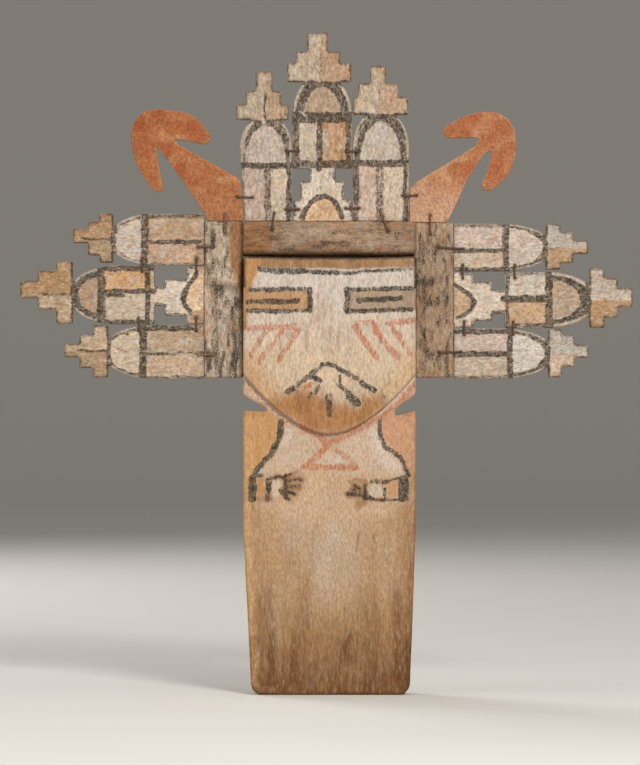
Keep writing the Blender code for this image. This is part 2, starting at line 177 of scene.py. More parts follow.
def cadLoops(node):
    # Outline and tie holes of a CAD board: wall edges nearest its back, chained into loops
    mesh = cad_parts[node].data
    mesh.calc_loop_triangles()
    co = np.array([v.co for v in mesh.vertices]) * 1000
    tri = co[np.array([t.vertices for t in mesh.loop_triangles])]
    normal = np.cross(tri[:, 1] - tri[:, 0], tri[:, 2] - tri[:, 0])
    normal /= np.linalg.norm(normal, axis=1, keepdims=True)
    middle = (co[:, 1].min() + co[:, 1].max()) / 2
    same, behind, upright = 1e-3, 2, 0.05
    following = {}
    for a, b in [(0, 1), (1, 2), (2, 0)]:
        level = np.abs(tri[:, a, 1] - tri[:, b, 1]) < same
        back = tri[:, a, 1] > middle + behind
        apart = np.linalg.norm(tri[:, a] - tri[:, b], axis=1) > same
        for k in np.nonzero(level & back & apart & (np.abs(normal[:, 1]) < upright))[0]:
            start, end = tri[k, a][[0, 2]], tri[k, b][[0, 2]]
            following[tuple(np.round(start, 2))] = tuple(np.round(end, 2))
    loops = []
    while following:
        first = next(iter(following))
        loop = [first]
        while following.get(loop[-1]) not in (None, first):
            loop.append(following.pop(loop[-1]))
        following.pop(loop[-1], None)
        loops.append(np.array(loop))
    loops.sort(key=lambda loop: -np.ptp(loop[:, 0]) * np.ptp(loop[:, 1]))
    holes = [(loop.mean(0), np.ptp(loop[:, 0]) / 2) for loop in loops[1:]]
    return leftward(loops[0]), holes


def leftward(loop):
    # The same loop, running anticlockwise as seen from the front
    x, z = loop[:, 0], loop[:, 1]
    area = (x * np.roll(z, -1) - np.roll(x, -1) * z).sum()
    return loop if area > 0 else loop[::-1]


def evenLoop(loop, step):
    # Points spaced evenly by length along the closed loop
    ring = closed(loop)
    run = np.concatenate([[0], np.cumsum(np.linalg.norm(np.diff(ring, axis=0), axis=1))])
    count = int(round(run[-1] / step))
    place = np.arange(count) * run[-1] / count
    return np.stack([np.interp(place, run, ring[:, k]) for k in (0, 1)], 1)


def loopNormals(loop):
    # Inward normals: the central difference along the loop, turned a quarter to the left
    along = np.roll(loop, -1, 0) - np.roll(loop, 1, 0)
    along /= np.maximum(np.linalg.norm(along, axis=1, keepdims=True), 1e-9)
    return np.stack([-along[:, 1], along[:, 0]], 1)


def handCut(loop, step, seed, wander, snug):
    # An outline as a knife leaves it: corners eased by averaging neighbours, the whole let
    # out a little to close the seams, and the edge wandering inwards by slow noise
    loop = evenLoop(loop, step)
    for _ in range(2):
        loop = (np.roll(loop, 1, 0) + 2 * loop + np.roll(loop, -1, 0)) / 4
    slow = softNoise(loop[:, 0] / 7, loop[:, 1] / 7, seed)
    quick = softNoise(loop[:, 0] / 1.7, loop[:, 1] / 1.7, seed + 3)
    inward = wander * (0.75 * ramp(slow, 0.25, 0.9) + 0.35 * quick) - snug
    low, high = (np.array(corner)[[0, 2]] / mm for corner in cadBounds)
    return np.clip(loop + loopNormals(loop) * inward[:, None], low, high)


def cover(points, rim, holes):
    # Triangles over the area inside the rim and outside the holes
    rings = [rim] + [ring for _, _, ring in holes]
    edges, first = [], 0
    for ring in rings:
        index = np.arange(first, first + len(ring))
        edges += np.stack([index, np.roll(index, -1)], 1).tolist()
        first += len(ring)
    spread = np.concatenate(rings + [points])
    made = delaunay_2d_cdt(spread.tolist(), edges, [], 0, 1e-6)
    order = np.array([sources[0] for sources in made[3]])
    faces = order[np.array(made[2])]
    middle = spread[faces].mean(1)
    keep = insideLoop(middle, rim)
    for center, radius, _ in holes:
        keep &= np.linalg.norm(middle - center, axis=1) > radius * 0.97
    return spread, faces[keep]


def gridInside(rim, holes, step, margin):
    # A square grid with every second row shifted by half a step, kept clear of all edges
    low, high = rim.min(0), rim.max(0)
    x, z = np.meshgrid(np.arange(low[0], high[0], step), np.arange(low[1], high[1], step * 0.87))
    x[1::2] += step / 2
    grid = np.stack([x.ravel(), z.ravel()], 1)
    grid = grid[insideLoop(grid, rim)]
    grid = grid[lineDistance(grid, closed(rim)) > margin]
    for center, radius, _ in holes:
        grid = grid[np.linalg.norm(grid - center, axis=1) > radius + margin * 0.6]
    return grid


def boardPoints(rim, holes, radius, step, extra=None):
    # Rings that follow the rounded edge, more rings round each hole, then the grid
    rings = [rim + loopNormals(rim) * radius * share for share in (0.06, 0.25, 0.55, 1.0)]
    near = np.concatenate(rings)
    near = near[insideLoop(near, rim) & (lineDistance(near, closed(rim)) > radius * 0.03)]
    near = near[lineDistance(near, closed(rim)) > 0.04]
    points = [near, gridInside(rim, holes, step, radius + step * 0.45)]
    for center, size, ring in holes:
        points += [center + (ring - center) * grow for grow in (1.12, 1.35)]
    if extra is not None:
        extra = extra[insideLoop(extra, rim)]
        points.append(extra[lineDistance(extra, closed(rim)) > 0.3])
    points = np.concatenate(points)
    for center, size, _ in holes:
        away = np.linalg.norm(points - center, axis=1)
        points = points[away > size * 1.05]
    return points


def rounding(distance, radius):
    # Quarter circle: how far the surface falls back at this distance from the edge
    inner = np.clip(radius - distance, 0, radius)
    return radius - np.sqrt(np.maximum(radius ** 2 - inner ** 2, 0))


def buildBoard(name, board, paint, material):
    # A closed shell: front, back, and a wall between the two outlines. A front point's
    # depth is the plane, plus the worn edge's fall, plus the board's own relief.
    rim, holes = board["rim"], board["holes"]
    frontPoints = boardPoints(rim, holes, board["edge"], board["step"], board.get("extra"))
    front, frontFaces = cover(frontPoints, rim, holes)
    backPoints = boardPoints(rim, holes, board["edge"], board["backStep"])
    back, backFaces = cover(backPoints, rim, holes)

    def fall(points):
        distance = lineDistance(points, closed(rim))
        drop = rounding(distance, board["edge"])
        for center, size, _ in holes:
            gap = np.clip(np.linalg.norm(points - center, axis=1) - size, 0, None)
            drop = np.maximum(drop, rounding(gap, tieHole["edge"]))
        return distance, drop

    frontEdge, frontDrop = fall(front)
    backEdge, backDrop = fall(back)
    frontY = board["front"](front) + frontDrop + board["relief"](front, frontEdge)
    backY = board["back"] - backDrop - board["backRelief"](back, backEdge)

    rims = [rim] + [ring for _, _, ring in holes]
    levels = board["levels"]
    points = [front, back]
    depth = [frontY, backY]
    edge = [frontEdge, backEdge]
    facing = [np.ones(len(front)), np.zeros(len(back))]
    quads = []
    total, first = len(front) + len(back), 0
    for number, ring in enumerate(rims):
        count = len(ring)
        index = np.arange(first, first + count)
        rows = [index]
        steps = levels if number == 0 else 1
        for level in range(1, steps):
            share = level / steps
            y = frontY[index] * (1 - share) + backY[index] * share
            marks = softNoise(ring[:, 0] / 2.3 + y / 9, ring[:, 1] / 2.3 + y / 2.5, 5)
            shift = board["wallMarks"] * marks
            points.append(ring + loopNormals(ring) * shift[:, None])
            depth.append(y)
            edge.append(np.zeros(count))
            facing.append(np.full(count, 1 - share))
            rows.append(np.arange(total, total + count))
            total += count
        rows.append(index + len(front))
        for upper, lower in zip(rows, rows[1:]):
            quads.append(np.stack([upper, lower, np.roll(lower, -1), np.roll(upper, -1)], 1))
        first += count
    points, depth = np.concatenate(points), np.concatenate(depth)
    edge, facing = np.concatenate(edge), np.concatenate(facing)

    faces = frontFaces.tolist() + (backFaces + len(front))[:, ::-1].tolist()
    faces += np.concatenate(quads).tolist()
    levelsOfPaint = paint(points, np.where(facing == 1, edge, 0.0))
    tint(levelsOfPaint, board["backColour"], 1 - facing)
    levelsOfPaint["stain"] *= 0.15 + 0.85 * facing
    levelsOfPaint["stain"] += 0.3 * (1 - facing) * softNoise(points[:, 0] / 9, points[:, 1] / 9, 6)
    darkRingAtHoles(levelsOfPaint, points, holes)
    co = np.stack([points[:, 0], depth, points[:, 1]], 1)
    attributes = paintAttributes(co, board["grain"], levelsOfPaint, edge, facing)
    return addPiece(name, co * mm, faces, material, attributes)


def addPiece(name, co, faces, material, attributes):
    # A smooth mesh from points in metres. An attribute with four values is a colour, and one
    # with three is a vector.
    mesh = bpy.data.meshes.new(name)
    mesh.from_pydata(co.tolist(), [], faces)
    mesh.shade_smooth()
    for label, values in attributes.items():
        colour = values.shape[1] == 4
        attribute = mesh.attributes.new(label, "FLOAT_COLOR" if colour else "FLOAT_VECTOR", "POINT")
        flat = np.ascontiguousarray(values, np.float32).ravel()
        attribute.data.foreach_set("color" if colour else "vector", flat)
    mesh.materials.append(material)
    piece = bpy.data.objects.new(name, mesh)
    bpy.context.scene.collection.objects.link(piece)
    return piece


def paintAttributes(co, grain, paint, edge, facing):
    # Point attributes for the shader: grain (mm: across, deep, along), the fill colour,
    # marks (ink, red, cover) and state (stains and painted shade, distance from the edge in mm,
    # facing)
    return {
        "grain": co if grain == "up" else co[:, [2, 1, 0]],
        "fill": np.concatenate([paint["fill"], np.ones((len(co), 1))], 1),
        "marks": np.stack([paint["ink"], paint["red"], paint["cover"]], 1),
        "state": np.stack([paint["stain"], np.clip(edge, 0, 8), facing], 1),
    }


def emptyPaint(points, fillColour, coverLevel):
    count = len(points)
    return {
        "fill": np.tile(paintColour(fillColour), (count, 1)), "cover": np.full(count, coverLevel),
        "ink": np.full(count, -1.0), "red": np.full(count, -1.0), "stain": np.zeros(count),
    }


def tint(paint, colour, level, cover=None):
    # Blends the fill colour, and the cover if one is given, by a paint level
    share = np.clip(level, 0, 1)
    paint["fill"] += (paintColour(colour) - paint["fill"]) * share[:, None]
    if cover is not None:
        paint["cover"] += (cover - paint["cover"]) * share


def ink(paint, level, kind="ink"):
    paint[kind] = np.maximum(paint[kind], level)


def inkWithin(paint, where, inside, cap, soft=1.1):
    # Ink on the chosen points: half where the depth inside is 0, up to the cap as it grows
    ink(paint, np.where(where, np.minimum(cap, 0.5 + inside / soft), -1))


# Materials


def addNode(tree, kind, inputs=None, **settings):
    made = tree.nodes.new("ShaderNode" + kind)
    for key, value in settings.items():
        setattr(made, key, value)
    for key, value in (inputs or {}).items():
        if isinstance(value, bpy.types.NodeSocket):
            tree.links.new(value, made.inputs[key])
        else:
            made.inputs[key].default_value = value
    return made


def rgba(hexCode):
    return (*paintColour(hexCode), 1.0)


cottonwood = {
    "woodLight": "#C79C6E", "woodDark": "#8E6238", "stain": "#63401F",
    "ink": "#211D18", "inkWorn": "#5A5044", "red": "#B8633A",
    "fibre": 0.45, "streak": 2.6, "fleck": 1.0, "flake": 2.0, "cloud": 14.0,  # mm across the grain
    "stretch": 7.0,  # how much longer than wide the grain's marks are
    "flakeStretch": 2.2,
    "mottle": 0.34,  # how far the paint's brightness varies
    "grain": 1.15, "grit": 0.34,  # the small grains' width in mm, and how dark they get
    "level": 1.0,  # how bright the whole surface is
    "patches": 1.0,  # how much thick pale and thin dark paint there is
    "warm": "#FFF5E4", "rosy": "#FFF3F0",  # what tinges the paint here and there
    "worn": "#DCCBB4",  # the paint where it is thickest
    "wearSoftness": 0.24,  # how softly the paint ends where it has worn
    "haze": 0.5,  # how much wash stays on the wood where the paint has gone
    "backWash": 0.34,  # how much paint the back has
}


def paintedCottonwood(name, changes=None):
    # Knife-carved cottonwood root, rubbed smooth, under kaolin and earth paints. The soft
    # wood gives long pale and brown streaks, and the thin paint has flaked along them.
    look = {**cottonwood, **(changes or {})}
    material = bpy.data.materials.new(name)
    material.use_nodes = True
    tree = material.node_tree
    shader = tree.nodes["Principled BSDF"]

    def attribute(label, output="Vector"):
        return addNode(tree, "Attribute", attribute_name=label).outputs[output]

    def spread(value, low, high, start=0.0, end=1.0):
        # From start at the low value to end at the high one
        inputs = {0: value, 1: low, 2: high, 3: start, 4: end}
        return addNode(tree, "MapRange", inputs).outputs[0]

    def noise(width, stretch, detail, shift=0.0, low=0.3, high=0.7):
        # Noise in cells this wide in mm and longer along the grain, spread from 0 to 1
        scale = (1 / width, 1 / width, 1 / (width * stretch))
        spot = addNode(tree, "Mapping", {0: grain, 1: (shift, shift, shift), 3: scale}).outputs[0]
        cells = addNode(tree, "TexNoise", {"Vector": spot, "Scale": 1.0, "Detail": detail})
        return spread(cells.outputs["Fac"], low, high)

    def math2(operation, first, second):
        return addNode(tree, "Math", {0: first, 1: second}, operation=operation).outputs[0]

    def times(first, second):
        return math2("MULTIPLY", first, second)

    def weigh(*parts):
        # The sum of each value times its weight
        total = times(*parts[0])
        for value, weight in parts[1:]:
            total = math2("ADD", total, times(value, weight))
        return total

    def blend(share, first, second, mode="MIX"):
        inputs = {"Fac": share, "Color1": first, "Color2": second}
        return addNode(tree, "MixRGB", inputs, blend_type=mode).outputs[0]

    def worn(level, chance, width):
        # Where the paint level beats the noise, softened over this width
        low, high = math2("SUBTRACT", chance, width), math2("ADD", chance, width)
        inputs = {0: level, 1: low, 2: high}
        return addNode(tree, "MapRange", inputs, interpolation_type="SMOOTHSTEP").outputs[0]

    grain, fill = attribute("grain"), attribute("fill", "Color")
    inkMark, redMark, coverMark = addNode(tree, "SeparateXYZ", {0: attribute("marks")}).outputs
    stain, edge, facing = addNode(tree, "SeparateXYZ", {0: attribute("state")}).outputs
    fibre = noise(look["fibre"], look["stretch"] * 2, 3.0)
    streak = noise(look["streak"], look["stretch"], 3.0, 11.0)
    fleck = noise(look["fleck"], 1.5, 3.0, 23.0)
    speck = noise(look["fleck"] * 0.7, 1.3, 2.0, 29.0)
    flake = noise(look["flake"], look["flakeStretch"], 4.0, 31.0)
    cloud = noise(look["cloud"], 1.6, 2.0, 47.0)
    pore = noise(look["fleck"] * 0.55, 3.0, 2.0, 59.0)
    grit = noise(look["grain"], look["flakeStretch"] * 0.7, 2.0, 71.0, 0.32, 0.68)
    density = noise(1.5, 1.3, 2.0, 83.0)
    chip = noise(0.8, 1.0, 2.0, 97.0)
    patchy = noise(3.0, 1.7, 3.0, 101.0)
    warmth = noise(2.6, 3.0, 2.0, 113.0, 0.42, 0.72)
    rosiness = noise(3.0, 3.4, 2.0, 127.0, 0.42, 0.72)

    woodTone = weigh((streak, 0.42), (fibre, 0.4), (cloud, 0.2))
    wood = blend(woodTone, rgba(look["woodDark"]), rgba(look["woodLight"]))
    stainTone = weigh((cloud, 0.4), (fibre, -0.55))
    wood = blend(times(stain, math2("ADD", stainTone, 0.9)), wood, rgba(look["stain"]))

    # Thin paint: brighter and duller clouds, pores showing, and loss along edges and grain
    fillDark = blend(1.0, fill, (1 - look["mottle"],) * 3 + (1.0,), "MULTIPLY")
    fillTone = weigh((cloud, 0.45), (flake, 0.3), (fibre, 0.3))
    paint = blend(fillTone, fillDark, fill)
    paint = blend(warmth, paint, rgba(look["warm"]), "MULTIPLY")
    paint = blend(rosiness, paint, rgba(look["rosy"]), "MULTIPLY")
    thick = times(spread(patchy, 0.55, 1.0, 0.0, 0.34), look["patches"])
    pale = spread(addNode(tree, "RGBToBW", {0: fill}).outputs[0], 0.26, 0.5)
    paint = blend(times(thick, pale), paint, rgba(look["worn"]))
    thin = times(spread(patchy, 0.45, 0.0, 0.0, 0.2), look["patches"])
    paint = blend(thin, paint, rgba(look["woodDark"]))
    onBack = times(math2("SUBTRACT", 1.0, facing), look["backWash"])
    coverLevel = math2("ADD", times(coverMark, facing), onBack)
    coverLevel = math2("SUBTRACT", coverLevel, spread(edge, 0.0, 1.3, 0.28, 0.0))
    coverMask = worn(coverLevel, weigh((flake, 0.62), (fibre, 0.38)), look["wearSoftness"])
    coverMask = math2("MAXIMUM", coverMask, times(coverLevel, look["haze"]))
    colour = blend(coverMask, wood, paint)
    colour = blend(times(times(stain, flake), 0.6), colour, rgba(look["stain"]))

    # Charcoal and iron red, brushed on thinly over the kaolin, speckled where it has worn
    speckle = weigh((speck, 0.55), (flake, 0.45))
    onFront = worn(facing, 0.35, 0.3)
    inkMask = worn(times(inkMark, onFront), speckle, 0.26)
    inkTone = weigh((fleck, 0.55), (density, 0.45))
    inkTone = blend(inkTone, rgba(look["inkWorn"]), rgba(look["ink"]))
    colour = blend(times(inkMask, spread(density, 0.0, 0.7, 0.68, 0.98)), colour, inkTone)
    redMask = worn(times(redMark, onFront), speckle, 0.34)
    redShare = times(redMask, spread(density, 0.0, 1.0, 0.48, 0.95))
    colour = blend(redShare, colour, rgba(look["red"]))
    chipShare = times(times(spread(chip, 0.72, 0.95, 0.0, 0.5), coverMask), pale)
    colour = blend(chipShare, colour, rgba(look["worn"]))
    colour = blend(spread(pore, 0.62, 1.0, 0.0, 0.34), colour, rgba(look["stain"]))
    gritty = spread(grit, 0.0, 1.0, look["level"] - look["grit"], look["level"] + 0.08)
    shade = addNode(tree, "CombineXYZ", {0: gritty, 1: gritty, 2: gritty}).outputs[0]
    colour = blend(1.0, colour, shade, "MULTIPLY")
    tree.links.new(colour, shader.inputs["Base Color"])

    # Heights are in millimetres: the fibres, the paint's own thickness and its brush marks
    height = weigh((fibre, 0.05), (coverMask, 0.07), (inkMask, 0.03), (pore, 0.05),
                   (streak, 0.08), (grit, 0.05))
    bump = addNode(tree, "Bump", {"Strength": 1.0, "Distance": mm, "Height": height})
    tree.links.new(bump.outputs[0], shader.inputs["Normal"])
    tree.links.new(spread(coverMask, 0.0, 1.0, 0.68, 0.92), shader.inputs["Roughness"])
    shader.inputs["IOR"].default_value = 1.45
    shader.inputs["Specular IOR Level"].default_value = 0.3
    return material


# The frame round the head and the boards on it, as the CAD places them (mm)
layout = {
    "seam": 0.4, "topAxis": -4.2, "topFoot": 271.0,
    "leftAxis": 228.6, "leftFoot": -71.9, "rightAxis": 225.8, "rightFoot": 71.2,
}
boardStock = {
    "front": -6.5, "back": 0.5, "edge": 0.9, "step": 0.62, "backStep": 1.6, "loopStep": 0.45,
    "levels": 4, "wallMarks": 0.1, "wander": 0.16, "snug": 0.18, "backColour": "#BFA98E",
}
# A visible hole against the CAD's, which takes a flat thong, and its worn edge (mm)
tieHole = {"share": 0.5, "sides": 12, "edge": 0.35}


def boardRelief(seed, grain, facets, chips):
    # Knife facets: long shallow scoops 5 mm wide. Chips: bites near the edge, where noise
    # passes a limit that rises inwards.
    def relief(points, edge):
        across, along = (0, 1) if grain == "up" else (1, 0)
        a, b = points[:, across], points[:, along]
        scoop = np.abs(softNoise(a / 5.0, b / 26, seed) - 0.5) * 2
        groove = softNoise(a / 0.9, b / 22, seed + 1)
        swell = softNoise(a / 16, b / 30, seed + 2)
        bite = ramp(softNoise(a / 1.9, b / 2.6, seed + 4), 0.76 + 0.16 * edge, 1.0)
        return facets * (0.16 * scoop + 0.05 * groove + 0.2 * swell) + chips * bite * (edge < 1.6)
    return relief


def roundHoles(holes):
    # Each tie hole as a ring that runs clockwise, so its wall faces inwards
    turn = -np.arange(tieHole["sides"]) * 2 * math.pi / tieHole["sides"]
    circle, share = np.stack([np.cos(turn), np.sin(turn)], 1), tieHole["share"]
    return [(center, size * share, center + circle * size * share) for center, size in holes]


def stockBoard(node, grain, seed, facets=1.0, chips=0.5, **changes):
    stock = {**boardStock, **changes}
    outline, holes = cadLoops(node)
    rim = handCut(outline, stock["loopStep"], seed, stock["wander"], stock["snug"])
    front = stock["front"]
    stock.update({
        "rim": rim, "holes": roundHoles(holes), "grain": grain,
        "front": lambda points: np.full(len(points), front),
        "relief": boardRelief(seed, grain, facets, chips),
        "backRelief": boardRelief(seed + 9, grain, facets * 1.3, chips),
    })
    return stock


def darkRingAtHoles(paint, points, holes):
    # Darker round each tie, fading over 2 mm, with less paint there
    for center, size, _ in holes:
        away = np.linalg.norm(points - center, axis=1)
        level = 0.6 * ramp(away, size + 1.7, size + 0.2)
        paint["stain"] = np.maximum(paint["stain"], level)
        paint["cover"] -= 0.4 * level


def place(piece, node, slot):
    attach(piece, "root")
    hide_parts(node)


# Towers

greyWhite = "#BFB3A6"
white, cream, pinkish, tan = "#D8CABC", "#D8C7B0", "#D4BBAA", "#C0A383"
dulled, clay = "#C8B7A1", "#CFAF94"

# Sizes across are from a tower's middle and up from its foot. For the left group across
# runs up the doll, and for the right group down it. An ink level of 1 is solid.
# band, sill: up, width, level. mullion, cloudLine: across, width, level. walls: width and
# level at the left and right edge. panel: the dome panel's half width and rise. ring: its
# bare rim and level. colours: left window, right window, dome. cloud: left and right half.
# rubbed: where the ink has gone. marks: stray strokes. bare: where all the paint has gone.
towers = {
    "tower_top_left": {
        "group": "top", "shift": -32.2, "width": 29.6, "foot": 0.0,
        "band": (31.7, 3.3, 0.9), "mullion": (0.9, 3.7, 0.62), "walls": (2.6, 0.45, 3.0, 0.85),
        "panel": (12.0, 22.9), "ring": (1.3, 0.74), "colours": ("#C5AE9E", "#D2C3AE", "#C9BBAE"),
        "cloud": (dulled, "#BEA487"), "cloudLine": (-0.6, 1.3, 0.75), "cloudFoot": 57.0,
        "rubbed": [(spots((243.5, 152), (243.5, 140), (247, 130), (252, 123)), 1.8),
                   (spots((262, 118), (264, 126)), 1.3)],
    },
    "tower_top_center": {
        "group": "top", "shift": 0.0, "width": 34.0, "foot": 30.2,
        "band": (59.2, 6.2, 0.85), "mullion": (-1.5, 4.0, 0.75), "walls": (3.6, 0.72, 3.0, 0.7),
        "panel": (10.6, 17.3), "ring": (1.7, 0.84), "colours": ("#D1C1AC", "#C49C73", "#B9A287"),
        "sill": (32.6, 4.2, 0.7), "cloud": (dulled, "#C19F7F"), "cloudLine": (-0.8, 1.2, 0.5),
        "cloudFoot": 79.0, "archWidth": 3.1, "archFill": "#E6C099",
        "rubbed": [(spots((324.5, 130), (324.5, 158)), 1.7), (spots((300, 156), (313, 158)), 1.3),
                   (spots((300, 112), (306, 116)), 1.6)],
        "arch": ((-11.4, 1.6), (-9.8, 6.0), (-7.0, 9.8), (-2.7, 13.6), (1.6, 14.1), (5.6, 12.4),
                 (8.6, 8.8), (11.6, 2.2)),
    },
    "tower_top_right": {
        "group": "top", "shift": 33.55, "width": 32.3, "foot": 0.0,
        "band": (33.0, 3.9, 0.8), "mullion": (-0.6, 4.6, 0.55), "walls": (3.4, 0.72, 3.2, 0.85),
        "panel": (11.8, 24.0), "ring": (1.3, 0.8), "colours": (pinkish, cream, "#D0C3B5"),
        "cloud": (dulled, "#C3A68A"), "cloudLine": (-1.1, 0.8, 0.4), "cloudFoot": 60.5,
        "rubbed": [(spots((356, 145), (358, 134), (364, 126)), 1.6),
                   (spots((408, 164), (408, 196)), 1.6)],
    },
    "tower_left_upper": {
        "group": "left", "shift": 31.75, "width": 29.3, "foot": 0.0,
        "band": (33.9, 4.2, 0.72), "mullion": (-1.5, 2.7, 0.75), "walls": (1.2, 0.45, 2.4, 0.6),
        "panel": (12.2, 17.0), "ring": (1.1, 0.58), "colours": (clay, tan, white),
        "cloud": ("#B5997A", "#BA9670"), "cloudLine": (0.4, 1.2, 0.7), "cloudFoot": 52.0,
        "bare": [spots((193, 258), (198, 246), (204, 240), (204, 270), (191, 270))],
    },
    "tower_left_center": {
        "group": "left", "shift": 0.0, "width": 33.4, "foot": 28.5,
        "band": (58.7, 4.8, 0.75), "mullion": (2.3, 2.8, 0.86), "walls": (2.4, 0.78, 2.6, 0.75),
        "panel": (10.2, 13.0), "ring": (1.5, 0.86), "colours": (cream, "#DCAF7D", "#BBA085"),
        "sill": (32.2, 3.0, 0.85), "cloud": ("#C5AD8E", "#BC996F"), "cloudLine": (0.3, 1.6, 0.6),
        "cloudFoot": 75.2, "archWidth": 3.0, "archFill": "#EED0AD",
        "bare": [spots((190, 312), (204, 308), (204, 326), (188, 326)),
                 spots((192, 266), (204, 262), (204, 276), (196, 272))],
        "marks": [(spots((107, 294.6), (123, 295.4)), 2.6, 0.8, "ink")],
        "rubbed": [(spots((94, 303), (97, 290)), 1.2)],
        "arch": ((11.8, 4.3), (7.0, 7.6), (2.3, 10.4), (-2.0, 12.2), (-6.0, 10.6), (-8.6, 8.6),
                 (-11.5, 6.0)),
    },
    "tower_left_lower": {
        "group": "left", "shift": -32.45, "width": 30.7, "foot": 0.0,
        "band": (34.8, 4.4, 0.85), "mullion": (-1.1, 1.9, 0.72), "walls": (1.4, 0.55, 3.2, 0.82),
        "panel": (12.4, 20.4), "ring": (0.9, 0.7), "colours": ("#D2B99D", "#BEA88A", cream),
        "cloud": ("#B4997B", "#CAB295"), "cloudLine": (0.6, 1.3, 0.8), "cloudFoot": 54.8,
        "bare": [spots((190, 322), (204, 322), (204, 338), (197, 336))],
        "marks": [(spots((125.8, 334), (127, 334.4)), 1.7, 0.85, "ink"),
                  (spots((112, 351), (118, 349), (125, 352)), 0.8, 0.42, "red")],
        "rubbed": [(spots((146, 351.4), (165, 350.8), (176, 353.5), (196, 356)), 1.3)],
    },
    "tower_right_upper": {
        "group": "right", "shift": -30.0, "width": 27.2, "foot": 0.0,
        "band": (29.8, 3.9, 0.78), "mullion": (1.7, 2.5, 0.78), "walls": (2.0, 0.55, 2.2, 0.75),
        "panel": (11.0, 21.2), "ring": (0.9, 0.72), "colours": ("#DAC5BA", "#D4C4AE", white),
        "cloud": ("#C6BCAE", "#BE9F7D"), "cloudLine": (0.3, 1.0, 0.35), "cloudFoot": 52.6,
        "marks": [(spots((484, 269.4), (487.4, 269)), 3.0, 0.9, "ink")],
    },
    "tower_right_center": {
        "group": "right", "shift": 0.0, "width": 32.0, "foot": 29.1,
        "band": (54.5, 4.3, 0.82), "mullion": (-0.7, 4.6, 0.8), "walls": (2.0, 0.5, 2.4, 0.65),
        "panel": (11.2, 17.7), "ring": (1.8, 0.88), "colours": ("#DDD2C2", "#D6B390", "#BFAA93"),
        "sill": (30.6, 2.2, 0.7), "cloud": ("#CBBDAB", "#BE9973"), "cloudLine": (0.2, 0.8, 0.3),
        "cloudFoot": 77.5, "archWidth": 2.7, "archFill": "#C8AC8E",
        "arch": ((-8.8, 0.6), (-5.7, 5.2), (-3.0, 9.4), (0.6, 11.6), (4.4, 10.4), (6.9, 8.0),
                 (9.0, 5.0), (10.4, 2.2)),
    },
    "tower_right_lower": {
        "group": "right", "shift": 30.7, "width": 28.6, "foot": 0.0,
        "band": (32.1, 3.3, 0.8), "mullion": (0.2, 3.3, 0.84), "walls": (3.0, 0.84, 1.6, 0.5),
        "panel": (11.2, 19.6), "ring": (1.2, 0.76), "colours": ("#D1C0B6", "#C7B7A2", "#E0D6CC"),
        "cloud": ("#C2BBB1", "#D8BFA9"), "cloudLine": (0.3, 0.8, 0.35), "cloudFoot": 54.0,
    },
}


def towerFrame(tower, points):
    # Photograph-plane points to a tower's own frame: across its middle and up from its foot
    x, z = points[:, 0], points[:, 1]
    if tower["group"] == "top":
        return x - layout["topAxis"] - tower["shift"], z - layout["topFoot"]
    if tower["group"] == "left":
        return z - layout["leftAxis"] - tower["shift"], layout["leftFoot"] - x
    return layout["rightAxis"] - tower["shift"] - z, x - layout["rightFoot"]


cloudRise = 17  # from a cloud's foot to where its middle line ends


